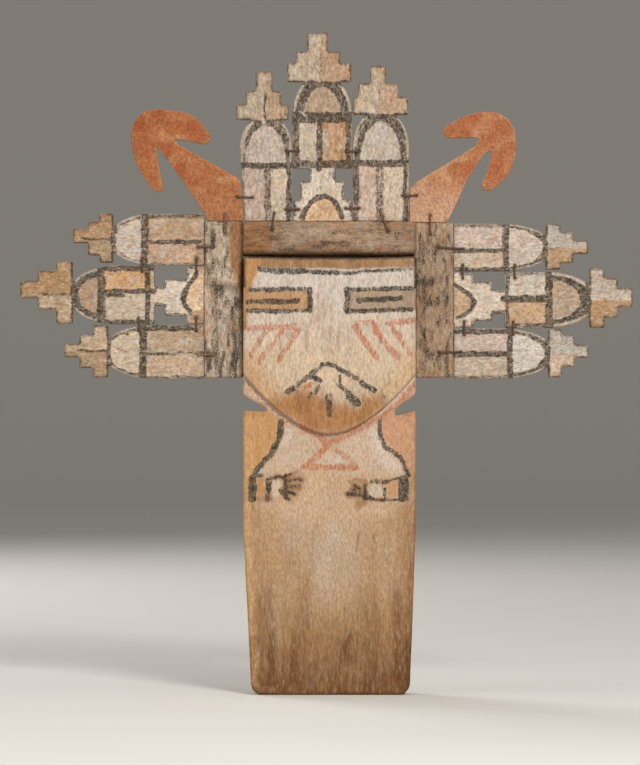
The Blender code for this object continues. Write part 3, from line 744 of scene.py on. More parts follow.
def towerPaint(tower, seed):
    # Windows left and right of a mullion, a band under the dome, ink along the walls and
    # round the dome's panel, and a cloud in two colours
    def paint(points, edge):
        own = handDrawn(np.stack(towerFrame(tower, points), 1))
        across, up = own.T
        half, foot, neck = tower["width"] / 2, tower["foot"], tower["cloudFoot"]
        bandUp, bandWidth, bandCap = tower["band"]
        mullion, mullionWidth, mullionCap = tower["mullion"]
        lineAt, lineWidth, lineCap = tower["cloudLine"]
        panelHalf, panelRise = tower["panel"]
        ringRim, ringInk = tower["ring"]
        leftWindow, rightWindow, dome = tower["colours"]
        made = emptyPaint(points, cream, 0.9)

        def line(start, end, width, cap, soft=0.7):
            ink(made, stroke(own, np.array([start, end]), width, cap, soft))

        low = ramp(up, foot, foot + 0.6) * (1 - past(up, bandUp))
        tint(made, leftWindow, low * (1 - past(across, mullion)))
        tint(made, rightWindow, low * past(across, mullion))
        outside = np.hypot(across / panelHalf, np.clip(up - bandUp, 0, None) / panelRise) - 1
        outside *= panelHalf
        tint(made, dome, past(up, bandUp) * ramp(outside, 0.4, -0.4))
        tint(made, white, low * 0.5 * ramp(softNoise(across / 2.4, up / 4, seed + 7), 0.55, 0.85))
        tint(made, clay, low * 0.6 * ramp(softNoise(across / 3, up / 5, seed + 8), 0.55, 0.9))
        inCloud, side = past(up, neck, 0.3), past(across, lineAt, 0.3)
        tint(made, tower["cloud"][0], inCloud * (1 - side))
        tint(made, tower["cloud"][1], inCloud * side)

        leftWidth, leftCap, rightWidth, rightCap = tower["walls"]
        wall = np.where(across < 0, leftWidth, rightWidth)
        wallCap = np.where(across < 0, leftCap, rightCap)
        waver = 0.7 + 0.6 * softNoise(across / 4, up / 6, seed)
        fromWall = np.abs(half - np.abs(across) - wall * 0.58)
        inkWithin(made, (up > foot - 0.2) & (up < bandUp), wall * waver / 2 - fromWall, wallCap)
        tint(made, greyWhite, (up < neck) * 0.8 * ramp(edge, 2.0, 0.8))
        ring = np.minimum(outside, edge - ringRim * waver)
        inkWithin(made, (up > bandUp) & (up < neck), ring, ringInk)
        inkWithin(made, up < neck + 3, 1.4 * waver - np.abs(up - neck + 0.4), 0.72)
        line((-half, bandUp), (half, bandUp), bandWidth, bandCap)
        line((mullion, foot), (mullion, bandUp), mullionWidth, mullionCap)
        if "sill" in tower:
            sill, sillWidth, sillCap = tower["sill"]
            line((-half, sill), (half, sill), sillWidth, sillCap)
        if "arch" in tower:
            arch = np.array(tower["arch"], float)
            shut = np.concatenate([arch, arch[-1:] * (1, 0), arch[:1] * (1, 0)])
            tint(made, "#E4D6C4", 1 - past(up, foot))
            tint(made, tower["archFill"], patch(own, shut, 0.8), 0.95)
            ink(made, stroke(own, arch, tower["archWidth"], 0.86))
            inkWithin(made, (up < foot) & (up > 2.5), 1.6 * waver - edge, 0.62, 1.2)
        line((lineAt, neck), (lineAt, neck + cloudRise), lineWidth, lineCap, 0.9)
        tint(made, "#8C7458", inCloud * 0.6 * ramp(edge, 1.7, 0.2))
        tint(made, white, inCloud * 0.35 * ramp(softNoise(across / 1.5, up / 3, seed + 9), 0.6, 0.9))
        inkWithin(made, up > neck, waver - edge, 0.5, 1.5)

        for path, width in tower.get("rubbed", []):
            share = brushed(points, path, width, 1.0)
            tint(made, greyWhite, share)
            made["ink"] -= 0.45 * share
        for path, width, cap, kind in tower.get("marks", []):
            ink(made, stroke(points, path, width, cap, 1.2), kind)
        shift = softNoise(points[:, 0] / 2.6, points[:, 1] / 2.6, seed)[:, None] - 0.5
        for loop in tower.get("bare", []):
            gone = patch(points + 2.4 * shift, loop, 1.6)
            made["cover"] -= 0.95 * gone
            made["ink"] -= 0.5 * gone
        made["ink"] = np.maximum(made["ink"], 0.1 + 0.12 * softNoise(across / 6, up / 8, seed + 5))
        smudge = ramp(softNoise(across / 3.5, up / 9, seed + 6), 0.55, 1.0)
        made["stain"] = 0.34 * smudge + 0.3 * (1 - ramp(edge, 0.0, 1.0))
        return made
    return paint


towerLook = paintedCottonwood("kaolin_painted_cottonwood", {
    "woodLight": "#D0AE8E", "woodDark": "#A28064", "mottle": 0.24, "warm": "#FFF8EC",
})
for number, (node, tower) in enumerate(towers.items()):
    grain = "up" if tower["group"] == "top" else "across"
    board = stockBoard(node, grain, 20 + 3 * number)
    piece = buildBoard(node + "_board", board, towerPaint(tower, 40 + number), towerLook)
    place(piece, node, "whitewashed_cottonwood")
print("towers", len(towers))


# Horns

# glow: a redder line down the arm. hook: the shade along the hook. reach: how far the foot's
# inner edge is let out to close the seam to the tower beside it (mm).
horns = {
    "horn_left": {"fill": "#B8774D", "patch": "#A65A34", "pale": "#C9966C", "cover": 0.95, "seed": 61,
                  "glow": spots((158, 140), (170, 160)), "foot": "#B67D59", "reach": 0.5,
                  "hook": spots((138, 150), (142, 122), (165, 114), (200, 130))},
    "horn_right": {"fill": "#B97E57", "patch": "#B66A46", "pale": "#CFA380", "cover": 0.92, "seed": 71,
                   "glow": spots((470, 176), (462, 184)), "foot": "#D2A98E", "reach": 2.2,
                   "hook": spots((455, 128), (490, 118), (509, 145), (495, 185))},
}


def hornPaint(horn):
    # One earth colour, redder in patches and along one line, and paler at the rubbed edge
    def paint(points, edge):
        x, z = points[:, 0], points[:, 1]
        made = emptyPaint(points, horn["fill"], horn["cover"])
        tint(made, horn["patch"], 0.75 * ramp(softNoise(x / 8, z / 8, horn["seed"]), 0.5, 0.85))
        tint(made, horn["patch"], stroke(points, horn["glow"], 5.0, 0.8, 6.0))
        tint(made, horn["pale"], 0.85 * ramp(softNoise(x / 6, z / 6, horn["seed"] + 2), 0.55, 0.9))
        tint(made, horn["foot"], 0.9 * ramp(z, 298, 280))
        tint(made, horn["pale"], 0.8 - edge / 1.6)
        tint(made, horn["patch"], stroke(points, horn["hook"], 9.0, 0.55, 9.0))
        ink(made, 0.06 + 0.13 * softNoise(x / 3, z / 3, horn["seed"] + 4))
        return made
    return paint


hornLook = paintedCottonwood("ochre_washed_cottonwood", {
    "woodLight": "#D0A67C", "woodDark": "#9A6238", "flake": 1.6, "flakeStretch": 1.3,
    "stretch": 4.0, "mottle": 0.22, "inkWorn": "#6A4A38", "ink": "#4A2E20", "worn": "#C79468",
    "backWash": 0.7,
})
for node, horn in horns.items():
    board = stockBoard(node, "up", horn["seed"], 0.8, 0.3, edge=1.2, backColour=horn["fill"])
    rim, inward = board["rim"], math.copysign(1, -board["rim"][:, 0].mean())
    low = ramp(rim[:, 1], 291, 272) * ramp(rim[:, 0] * -inward, 58, 50)
    rim[:, 0] += inward * horn["reach"] * (0.2 + 0.8 * low) * (low > 0)
    piece = buildBoard(node + "_board", board, hornPaint(horn), hornLook)
    place(piece, node, "ochre_painted_cottonwood")
print("horns", len(horns))


# Crosspiece and posts

# specks: how strongly the dark specks gather. bare: where the wash has gone, its softness
# (mm), the wood's colour and how much of the wash is gone. smears: path and width of stains.
frameBoards = {
    "crosspiece": {
        "grain": "across", "fill": "#B39A80", "cover": 0.6, "ink": 0.26, "specks": 0.55, "seed": 81,
        "bare": (spots((240, 220), (266, 220), (272, 238), (262, 258), (240, 258)), 4.0,
                 "#86460F", 0.4),
    },
    "post_left": {
        "grain": "up", "fill": "#D3C2AD", "cover": 0.76, "ink": 0.36, "specks": 0.85, "seed": 91,
        "bare": (spots((230, 222), (244, 222), (244, 300), (239, 290), (235, 276), (230, 262)), 2.0,
                 "#BA855B", 0.6),
        "smears": [(spots((208, 230), (212, 240), (210, 250)), 2.2),
                   (spots((209, 283), (236, 289)), 4.5),
                   (spots((221, 240), (226, 252), (224, 266), (219, 262)), 1.6),
                   (spots((217, 330), (219, 345)), 2.4), (spots((208, 350), (209, 372)), 2.0),
                   (spots((235, 320), (236, 368)), 2.4)],
    },
    "post_right": {
        "grain": "up", "fill": "#BDA48A", "cover": 0.7, "ink": 0.28, "specks": 0.7, "seed": 101,
        "smears": [(spots((418, 281), (430, 283), (442, 276)), 4.0),
                   (spots((446, 262), (447, 300)), 2.0),
                   (spots((420, 235), (421, 262)), 1.6), (spots((424, 330), (425, 356)), 2.0)],
    },
}
# The crosspiece's lower edge and how it has worn, and how far its right end is let out (mm)
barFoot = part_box("crosspiece")[0].z / mm
barWear = {"round": 4.2, "hollow": 1.2, "half": 49, "letOut": 1.0}
redSpot = spots((380, 249.5), (384, 248.5))
washedPath = spots((292, 238), (330, 234), (368, 235))
# Painted shadow of the head on the left post, across these x (mm)
headShadowOnPost = (-52.0, -50.2)  # where the left post darkens towards the head


def framePaint(name, spec):
    # Patchy wash with dark specks gathered along the grain, and bare wood where it has gone
    def paint(points, edge):
        x, z = points[:, 0], points[:, 1]
        a, b = (x, z) if spec["grain"] == "up" else (z, x)
        made = emptyPaint(points, spec["fill"], spec["cover"])
        patches = softNoise(a / 4, b / 13, spec["seed"])
        made["cover"] += 0.5 * (patches - 0.5)
        specks = softNoise(a / 2.2, b / 6, spec["seed"] + 1)
        ink(made, spec["ink"] + spec["specks"] * (specks - 0.5) - 0.2 * (patches - 0.5))
        made["stain"] = 0.35 * ramp(softNoise(a / 7, b / 20, spec["seed"] + 2), 0.5, 1.0)
        if "bare" in spec:
            loop, soft, colour, loss = spec["bare"]
            gone = patch(points, loop, soft)
            tint(made, colour, gone)
            made["cover"] -= 0.9 * loss * gone
            made["ink"] -= 0.5 * loss * gone
        for path, width in spec.get("smears", []):
            smear = brushed(points, path, width, 3.0)
            tint(made, "#8E8273", 0.5 * smear)
            made["ink"] += 0.24 * smear
        if name == "post_left":
            # Painted shadow of the head, darkening the left post towards it
            made["stain"] += 0.8 * ramp(x, *headShadowOnPost)
        if name == "crosspiece":
            # Painted shade: the lower edge is darkened where the seam above the head lies deep in
            # shadow, and the wash is thinner there
            seamShade = 0.95 * ramp(z, barFoot + 3.4, barFoot + 0.8)
            made["stain"] = np.maximum(made["stain"], seamShade)
            made["cover"] -= 0.5 * ramp(z, barFoot + 3.4, barFoot + 1.0)
            ink(made, stroke(points, redSpot, 1.4, 0.8, 1.0), "red")
            washed = brushed(points, washedPath, 8.0, 8.0)
            tint(made, "#C6AE95", 0.6 * washed)
            made["cover"] += 0.16 * washed
        return made
    return paint


def wornPlane(points):
    # The crosspiece's lower front edge is worn to a quarter round
    return boardStock["front"] + rounding(points[:, 1] - barFoot, barWear["round"])


def wearBar(rim):
    # The foot's hollow is a parabola, deepest in the middle, and the right end is let out
    rim[:, 0] += barWear["letOut"] * ramp(rim[:, 0], 44, 47)
    hollow = barWear["hollow"] * (1 - (rim[:, 0] / barWear["half"]) ** 2)
    rim[:, 1] -= hollow * ramp(rim[:, 1], barFoot + 3, barFoot)


frameLook = paintedCottonwood("weathered_cottonwood_frame", {
    "woodLight": "#B3865E", "woodDark": "#7C5232", "stain": "#40291A", "flake": 1.5,
    "flakeStretch": 3.4, "inkWorn": "#4E463C", "ink": "#1F1C19", "worn": "#C4B29A",
})
for node, spec in frameBoards.items():
    changes = {"snug": 0.34, "backColour": spec["fill"]}
    board = stockBoard(node, spec["grain"], spec["seed"], 1.2, 0.6, **changes)
    if node == "crosspiece":
        board["front"] = wornPlane
        wearBar(board["rim"])
    piece = buildBoard(node + "_board", board, framePaint(node, spec), frameLook)
    place(piece, node, "weathered_cottonwood")
print("frame boards", len(frameBoards))


# Body and head

# chest, back: their planes (mm). lip: how wide the face's rounded lower edge is.
body = {
    "chest": -12.0, "faceRelief": 4.0, "back": 12.0, "backColour": "#C6A380", "edge": 2.1,
    "step": 0.66, "backStep": 2.4, "halfWidth": 49.0, "chin": 148.6, "jaw": 182.5,
    "jawPower": 1.76, "lip": 1.6,
    "wander": 0.22, "loopStep": 0.9, "levels": 12, "wallMarks": 0.25, "snug": 0.4,
    "brush": 1.16,  # how much fuller the painted lines are than their measured widths
}
# Drying cracks: path, width and depth (mm)
cracks = [
    (spots((359.5, 531), (357.5, 541), (356, 552)), 0.5, 0.7),
    (spots((373.5, 536), (374.5, 543)), 0.4, 0.4),
    (spots((286.3, 332), (286.8, 338)), 0.4, 0.4),
]

# Runs of paler paint on the chest and the skirt, and brown scratches in the face's paint
chestStreaks = [
    (spots((372, 430), (380, 450), (396, 468)), 6.0), (spots((289, 430), (284, 444)), 3.0),
    (spots((340, 458), (330, 462)), 3.0),
]
washStreaks = [
    (spots((384, 504), (390, 514)), 7.0),
    (spots((350, 545), (352, 575), (350, 600)), 9.0), (spots((324, 550), (328, 600)), 11.0),
    (spots((334, 500), (336, 540)), 8.0), (spots((277, 590), (280, 640)), 8.0),
    (spots((390, 540), (388, 590)), 7.0), (spots((290, 505), (292, 545)), 6.0),
]
faceStreaks = [
    (spots((318, 294), (319, 330)), 1.3), (spots((324, 300), (323.4, 327)), 1.0),
    (spots((331, 304), (331, 338)), 0.9), (spots((312.5, 300), (312, 324)), 1.0),
    (spots((338, 330), (338.6, 352)), 0.9), (spots((307, 332), (306, 352)), 1.2),
]
brownRun = spots((350, 636), (347, 646), (349, 658))
# Painted shadows along the shoulders' top edges, inside the neck notches
shoulderShades = (spots((244, 414), (256, 415.5), (266, 415)), spots((397, 417), (410, 414.5)))
handDisc = {"middle": (376, 491.4), "radius": 7.6, "wobble": 0.5, "lobes": 9, "sides": 36}


def jawHeight(x):
    # Jaw line: the chin's height, plus the rise to the jaw times |x / half width| ^ power
    rise = body["jaw"] - body["chin"]
    return body["chin"] + rise * np.abs(x / body["halfWidth"]) ** body["jawPower"]


jawX = np.linspace(-body["halfWidth"] - 2, body["halfWidth"] + 2, 260)
jawLine = np.stack([jawX, jawHeight(jawX)], 1)


def jawDistance(points):
    side = np.where(points[:, 1] > jawHeight(points[:, 0]), 1, -1)
    return side * lineDistance(points, jawLine)


def bodyFront(points):
    # The chest plane, less the face's relief: steep at the jaw and rounded over the lip,
    # 1 - (1 - distance / lip) ^ 3.2. The face and chest fall away a little at the sides.
    share = np.clip(jawDistance(points) / body["lip"], 0, 1)
    raised = body["faceRelief"] * (1 - (1 - share) ** 3.2)
    side = np.abs(points[:, 0] / body["halfWidth"])
    return body["chest"] - raised + 0.8 * side ** 7


def bodyRelief(points, edge):
    x, z = points[:, 0], points[:, 1]
    scoop = np.abs(softNoise(x / 7, z / 30, 201) - 0.5) * 2
    groove = softNoise(x / 1.3, z / 34, 202)
    swell = softNoise(x / 22, z / 40, 203)
    bite = ramp(softNoise(x / 3, z / 4, 204), 0.8 + 0.1 * edge, 1.0) * (edge < 2.0)
    drop = 0.12 * scoop + 0.07 * groove + 0.35 * swell + 0.6 * bite
    for path, width, depth in cracks:
        drop += depth * ramp(width - lineDistance(points, path), 0, width)
    return drop


def besidePath(path, offsets, step):
    # Rows of points along a path, at these distances to its left
    run = np.concatenate([[0], np.cumsum(np.linalg.norm(np.diff(path, axis=0), axis=1))])
    place = np.arange(0, run[-1], step)
    spot = np.stack([np.interp(place, run, path[:, k]) for k in (0, 1)], 1)
    along = np.gradient(spot, axis=0)
    along /= np.linalg.norm(along, axis=1, keepdims=True)
    left = np.stack([-along[:, 1], along[:, 0]], 1)
    return np.concatenate([spot + left * offset for offset in offsets])


bodyInk = {
    "brow": [
        (spots((259.5, 269.2), (265, 270.3), (275, 270.8), (290, 271.2), (305, 271.3)), 2.7, 0.95),
        (spots((305, 271.3), (318, 272.5), (330, 272.9), (349, 273.4)), 2.0, 0.86),
        (spots((349, 273.3), (365, 271.5), (400, 270.5)), 1.6, 0.75),
        (spots((398, 270.2), (412, 269)), 1.4, 0.5),
    ],
    "leftEye": [
        (spots((251, 290), (270, 289.8), (290, 289.4), (310, 289.6)), 2.3, 0.8),
        (spots((309.4, 290), (309.6, 311)), 2.7, 0.9),
        (spots((248, 311), (280, 311.3), (309, 311.2)), 2.0, 0.76),
        (spots((248, 301.8), (250.5, 301.8)), 2.3, 0.7),
        (spots((254, 302), (267, 301.4)), 2.1, 0.74),
        (spots((269, 301.6), (283, 301.6)), 2.8, 0.97),
        (spots((286, 301.6), (297, 301.4)), 2.6, 0.95),
    ],
    "rightEye": [
        (spots((346, 290), (378, 289.6), (412, 288)), 2.2, 0.85),
        (spots((346.8, 290), (346.8, 311.5)), 2.6, 0.9),
        (spots((346.6, 311.5), (375, 311), (411, 309.6)), 2.2, 0.82),
        (spots((358.7, 300.6), (378, 300), (401, 298.6)), 2.6, 0.92),
    ],
    "mouth": [
        (spots((287.6, 391.6), (292.4, 388.2)), 3.0, 0.88),
        (spots((297.6, 385.5), (306, 378)), 2.3, 0.82),
        (spots((306, 377.4), (313, 373)), 2.3, 0.82),
        (spots((309, 376), (314, 378), (321, 381)), 2.3, 0.88),
        (spots((314.5, 371.8), (321, 366.4)), 1.9, 0.6),
        (spots((321.4, 365.4), (328, 363.8), (333.6, 365.5), (339, 368.6)), 2.1, 0.78),
        (spots((339, 368.6), (344.5, 371.8), (350, 375.5), (356.6, 378.6)), 2.4, 0.84),
        (spots((361.8, 383.2), (368, 387), (374.5, 391)), 3.1, 0.9),
        (spots((381, 396.4), (384, 398)), 1.6, 0.34),
        (spots((339.5, 376.4), (339.4, 386)), 1.0, 0.7),
        (spots((333.6, 380), (338.2, 385.5)), 0.8, 0.5),
        (spots((341.4, 386.4), (348.2, 392.3)), 2.3, 0.84),
        (spots((349.4, 396.6), (357, 403.4)), 3.8, 0.9),
        (spots((328.4, 396.8), (329, 403)), 3.6, 0.6),
        (spots((329, 402), (329, 415)), 2.8, 0.82),
        (spots((319, 386), (317.3, 389), (314.5, 392.7)), 1.7, 0.66),
        (spots((311, 392.7), (309, 396.6)), 1.3, 0.66),
    ],
    "leftArm": [
        (spots((281, 421), (280.6, 431), (279.4, 438.7), (274.3, 448.3)), 3.0, 0.85),
        (spots((274.3, 448.3), (271.7, 454), (264.7, 460.4), (258.4, 468.5)), 2.5, 0.78),
        (spots((258.4, 467.5), (254.5, 475)), 2.6, 0.9),
        (spots((252.5, 477.4), (252.5, 498)), 3.9, 0.97),
    ],
    "rightArm": [
        (spots((379.6, 421), (379.2, 430), (381.5, 438.7), (385.3, 446.4)), 2.3, 0.8),
        (spots((385.3, 446.4), (393, 452), (401.3, 458.5), (404.3, 466)), 2.3, 0.82),
        (spots((404.3, 466), (408, 476)), 2.2, 0.88),
        (spots((403.3, 480.6), (403.3, 497)), 5.2, 0.98),
    ],
    "leftHand": [
        (spots((257, 475.6), (262, 475.8)), 1.7, 0.78),
        (spots((268.7, 481), (268.7, 490)), 3.0, 0.84),
        (spots((268.2, 490), (267, 499)), 2.6, 0.45),
        (spots((271, 478), (275, 477.6)), 1.8, 0.66),
        (spots((276.5, 475.5), (284.6, 477.6)), 1.3, 0.7),
        (spots((284.6, 475.6), (290.3, 473.6)), 1.2, 0.75),
        (spots((285.8, 479.5), (285.8, 497)), 2.0, 0.84),
        (spots((280.4, 490.4), (285, 495)), 1.8, 0.75),
        (spots((287, 481.4), (292.8, 480.6), (297, 478.9), (302, 480.4)), 1.3, 0.78),
        (spots((287, 486.8), (299, 486.6)), 1.5, 0.62),
        (spots((287, 492.2), (292.8, 492.9), (295.9, 494.4)), 1.3, 0.82),
        (spots((286, 496.6), (290.3, 499.6)), 1.2, 0.6),
    ],
    "rightHand": [
        (spots((388, 481.2), (393, 479.9), (399, 478.6)), 1.1, 0.85),
        (spots((376.2, 481.4), (377.6, 481.6)), 2.3, 0.7),
        (spots((384.8, 481.6), (386.4, 481.4)), 2.4, 0.74),
        (spots((369.8, 483), (371, 481.6)), 1.4, 0.66),
        (spots((385, 488.6), (385, 497.4)), 1.2, 0.8),
        (spots((365.4, 485.2), (365, 497)), 1.8, 0.9),
        (spots((364.6, 497), (371, 498.6)), 2.0, 0.86),
        (spots((371, 498.8), (384, 499.4)), 1.5, 0.76),
        (spots((383, 499.4), (390, 499.6), (408, 499.4)), 1.3, 0.86),
        (spots((354.5, 485.5), (360, 488.5)), 1.2, 0.78),
        (spots((348.8, 494), (354, 494.6), (358.4, 495.2)), 1.9, 0.84),
        (spots((358, 495.4), (364, 495)), 1.2, 0.7),
        (spots((352, 490), (362, 491)), 1.3, 0.5),
    ],
}
bodyBrown = [
    (spots((257, 499), (271, 499)), 2.6, 0.55), (spots((268, 490), (268, 499)), 3.6, 0.7),
    (spots((276, 476), (285, 478)), 2.4, 0.7), (spots((285, 477), (291, 474), (297, 471.5)), 2.4, 0.6),
    (spots((286, 481), (294, 479), (302, 480)), 3.6, 0.7), (spots((286, 487), (299, 487)), 3.8, 0.75),
    (spots((286, 492), (296, 494)), 2.6, 0.6), (spots((283, 490), (286, 496), (290, 499)), 3.0, 0.6),
    (spots((348, 494), (353, 489), (360, 489)), 3.2, 0.6),
    (spots((348, 494.5), (364, 495.5)), 3.2, 0.7),
    (spots((351, 482), (356, 479), (365, 481)), 2.2, 0.55), (spots((354, 486), (360, 489)), 2.4, 0.6),
    (spots((358, 506), (361, 503), (365, 502)), 3.4, 0.6), (spots((365, 484), (365, 498)), 3.0, 0.6),
    (spots((372, 499.5), (383, 500)), 2.2, 0.75), (spots((383, 482), (388, 481)), 3.2, 0.6),
]
bodyRed = {
    "leftCheek": [
        (spots((243.5, 327.5), (270, 327.6), (296, 327.4)), 2.6, 0.62),
        (spots((269, 329), (260, 340), (251.5, 355)), 2.3, 0.6),
        (spots((283, 330), (270, 347), (259.5, 362)), 2.4, 0.64),
        (spots((298.5, 329), (288, 346), (278.5, 361)), 2.5, 0.66),
    ],
    "rightCheek": [
        (spots((357, 323.5), (374, 321.6)), 2.2, 0.5),
        (spots((388, 323), (413, 321.2)), 2.6, 0.66),
        (spots((354, 326.5), (362, 338), (376.4, 357)), 3.0, 0.8),
        (spots((372.5, 321.5), (377, 333), (385, 343), (397, 357)), 2.8, 0.74),
        (spots((390, 323.8), (400, 339), (410, 354)), 2.5, 0.66),
    ],
    "mouth": [
        (spots((305, 388), (310.6, 383.6)), 2.6, 0.9),
    ],
    "jaw": [
        (spots((350, 432.5), (362, 426.5), (374, 420), (386, 413)), 1.6, 0.75),
        (spots((386, 412), (400, 401), (416, 382)), 1.6, 0.6),
        (spots((246, 382), (262, 402), (284, 420), (304, 431)), 1.4, 0.42),
    ],
    "hourglass": [
        (spots((302.5, 426.8), (319, 435.5), (328.5, 445.7)), 3.4, 0.68),
        (spots((325, 446), (338.8, 438.7), (351.5, 432.3), (366, 424.6)), 2.7, 0.64),
        (spots((328.5, 445.7), (325, 449), (309, 463), (304.4, 467)), 2.8, 0.75),
        (spots((329, 446), (348, 458.5), (356, 467)), 2.2, 0.52),
        (spots((304, 467), (330, 466.8), (356, 467.2)), 3.0, 0.68),
    ],
}


def bodyPaint(points, edge):
    # White face with brown hair line and chin, painted eyes, a washed chest, and bare wood
    # that darkens towards the foot
    points = handDrawn(points)
    x, z = points[:, 0], points[:, 1]
    made = emptyPaint(points, "#CCB194", 0.0)
    made["cover"] += 0.14 * ramp(z, 30, 80)
    middle = np.exp(-(x / 27) ** 2) * ramp(z, 30, 95)
    streaks = softNoise(x / 4.5, z / 40, 301)
    made["cover"] += middle * (0.72 + 0.4 * (streaks - 0.5))

    def area(colour, pixels, soft, level=1.0, coverLevel=None):
        tint(made, colour, level * patch(points, spots(*pixels), soft), coverLevel)

    for path, width in washStreaks:
        share = brushed(points, path, width, width * 0.8)
        tint(made, "#CDBCA8", 0.4 * share)
        made["cover"] += 0.2 * share
    area("#D5B797", ((286, 424), (300, 430), (331, 437), (352, 432), (378, 420), (379, 430),
                     (385, 446), (401, 458), (408, 472), (406, 500), (380, 516), (300, 524),
                     (262, 506), (254, 500), (253, 472), (265, 460), (279, 439)), 7.0, 1.0, 0.8)
    area("#D9C0A9", ((284, 424), (331, 440), (378, 424), (388, 456), (404, 474), (372, 472),
                     (300, 468), (262, 470), (280, 446)), 8.0, 0.75, 1.05)
    area("#D6A66C", ((240, 411), (268, 411), (281, 421), (279, 438), (265, 460), (253, 472),
                     (249, 478), (240, 478)), 2.4, 1.0, 0.78)
    area("#D8A583", ((379, 420), (396, 414), (419, 410), (419, 474), (409, 470), (393, 452),
                     (381, 438)), 2.4, 1.0, 0.78)
    area("#DCC3B0", ((238, 376), (246, 376), (272, 404), (290, 420), (262, 411), (238, 411)),
         1.2, 1.0, 0.9)
    area("#D9AD94", ((420, 372), (412, 376), (382, 407), (366, 421), (396, 414), (420, 411)),
         1.2, 1.0, 0.86)

    for path, width in chestStreaks:
        tint(made, "#E8D8CA", 0.7 * brushed(points, path, width, width), 1.0)

    away = jawDistance(points)
    face = np.clip(0.5 + away / 0.8, 0, 1)
    tint(made, "#DBCEC1", face, 1.3)
    low = face * ramp(z, jawHeight(0) + 80, jawHeight(0) + 42)
    tint(made, "#DEC4A4", 0.85 * low)
    area("#D1A679", ((240, 350), (256, 356), (268, 380), (290, 396), (284, 410), (262, 402),
                     (240, 380)), 9.0, 0.8)
    area("#D6AE84", ((420, 350), (404, 358), (392, 378), (374, 396), (380, 408), (404, 392),
                     (420, 378)), 9.0, 0.7)
    area("#B68253", ((262, 404), (285, 396), (302, 389), (318, 393), (326, 397), (346, 406),
                     (358, 407), (362, 398), (372, 395), (387, 401), (376, 418), (352, 431),
                     (331, 437), (305, 429), (280, 414)), 8.0, 1.0, 0.7)
    area("#A17E5D", ((236, 250), (424, 250), (424, 267), (350, 269), (300, 268.5), (236, 268)),
         1.6, 1.0, 0.6)
    area("#B99A7C", ((392, 256), (424, 256), (424, 268), (392, 268)), 3.0, 0.6, 0.7)
    area("#C69258", ((236, 255), (262, 255), (258, 270), (253, 283), (249, 300), (247, 330),
                     (236, 330)), 2.2, 1.0, 0.5)
    area("#C79E77", ((244, 291), (309, 291), (309, 310), (244, 310)), 1.0, 1.0, 0.9)
    area("#B4A08A", ((348, 291), (418, 289), (418, 310), (348, 311)), 1.0, 1.0, 0.9)
    area("#CC955F", ((257, 479), (264.6, 479), (264.6, 496), (257, 496)), 1.2, 0.9, 0.9)
    area("#E0CDB6", ((272.5, 481), (279.5, 480), (281, 488), (279, 497), (272, 497)), 1.4, 0.8, 0.9)
    area("#A87C58", ((286, 476), (301, 474), (303, 482), (299, 496), (288, 498)), 4.0, 0.42, 0.8)
    area("#A87C58", ((349, 482), (364, 480), (365, 492), (362, 506), (350, 498)), 4.0, 0.46, 0.8)
    area("#D39F76", ((388, 481.6), (397.4, 481.6), (397.4, 496), (388, 496)), 1.4, 1.0, 0.9)
    turn = np.arange(handDisc["sides"]) * 2 * math.pi / handDisc["sides"]
    radius = handDisc["radius"] + handDisc["wobble"] * np.cos(handDisc["lobes"] * turn)
    around = np.stack([np.cos(turn), np.sin(turn)], 1)
    disc = spots(*(handDisc["middle"] + radius[:, None] * around))
    tint(made, "#D8C6AF", patch(points, disc, 1.0), 0.95)
    # Painted light: a pale band just below the jaw, a highlight that also lifts the shadow the face
    # casts on the chest
    under = ramp(away, -4.0, -0.8) * (away < 0)
    tint(made, "#EBD8C6", 0.7 * under)
    made["cover"] += (0.95 - made["cover"]) * 0.8 * under
    for path, width in faceStreaks:
        tint(made, "#B98C6A", 0.6 * brushed(points, path, width, 1.8))
    # A lighter golden left edge: partly the wood's own colour, partly painted light where the left
    # side catches the lamp
    goldenLitEdge = (x < -30) * ramp(edge, 6.0, 2.0) * (1 - face) * ramp(z, 165, 140) * ramp(z, 0.5, 6)
    tint(made, "#DDB07A", goldenLitEdge)
    made["cover"] += (0.86 - made["cover"]) * 0.8 * goldenLitEdge
    for path, width, level in bodyBrown:
        tint(made, "#8A5F40", level * brushed(points, path, width, 2.0))
    for kind, groups, soft in (("ink", bodyInk, 1.4), ("red", bodyRed, 2.0)):
        for path, width, cap in sum(groups.values(), []):
            ink(made, stroke(points, path, width * body["brush"], cap, soft), kind)

    bottom = ramp(z, 68, 0) ** 1.4
    sides = ramp(np.abs(x), 32, 49) * ramp(z, 170, 60)
    made["stain"] = 0.9 * bottom + (0.2 + 0.25 * (x > 0)) * sides
    made["stain"] += 0.5 * brushed(points, brownRun, 5.0, 7.0)
    made["stain"] += 0.4 * ramp(softNoise(x / 6, z / 34, 305), 0.5, 0.95) * ramp(z, 150, 60)
    made["stain"] += 0.55 * face * ramp(softNoise(x / 2.8, z / 13, 307), 0.58, 1.0)
    # Painted shadow along each shoulder's top edge
    for shoulder in shoulderShades:
        made["stain"] += 0.7 * brushed(points, shoulder, 1.6, 3.0)
    # Painted shade: the head's rim is inked and darkened, where the seams against the crosspiece and
    # posts lie in shadow
    headTop = z > body["jaw"] + 50
    inkWithin(made, headTop, 1.0 - edge, 0.9, 0.7)
    made["stain"] += 0.8 * headTop * ramp(edge, 2.2, 0.8)
    for path, width, depth in cracks:
        made["stain"] += 0.8 * np.clip(stroke(points, path, width * 1.3, 0.9, 0.8), 0, 1)
    # Partly painted shade in the crease below the jaw, darkest on the left where the face's shadow
    # falls, and partly the thin brown line painted there
    jawCreaseShade = np.clip(0.5 + (0.5 - np.abs(away + 0.1)) / 0.8, 0, 1)
    made["stain"] = np.maximum(made["stain"], jawCreaseShade * np.where(x < -10, 0.8, 0.3))
    made["stain"] = np.clip(made["stain"], 0, 0.95)
    return made


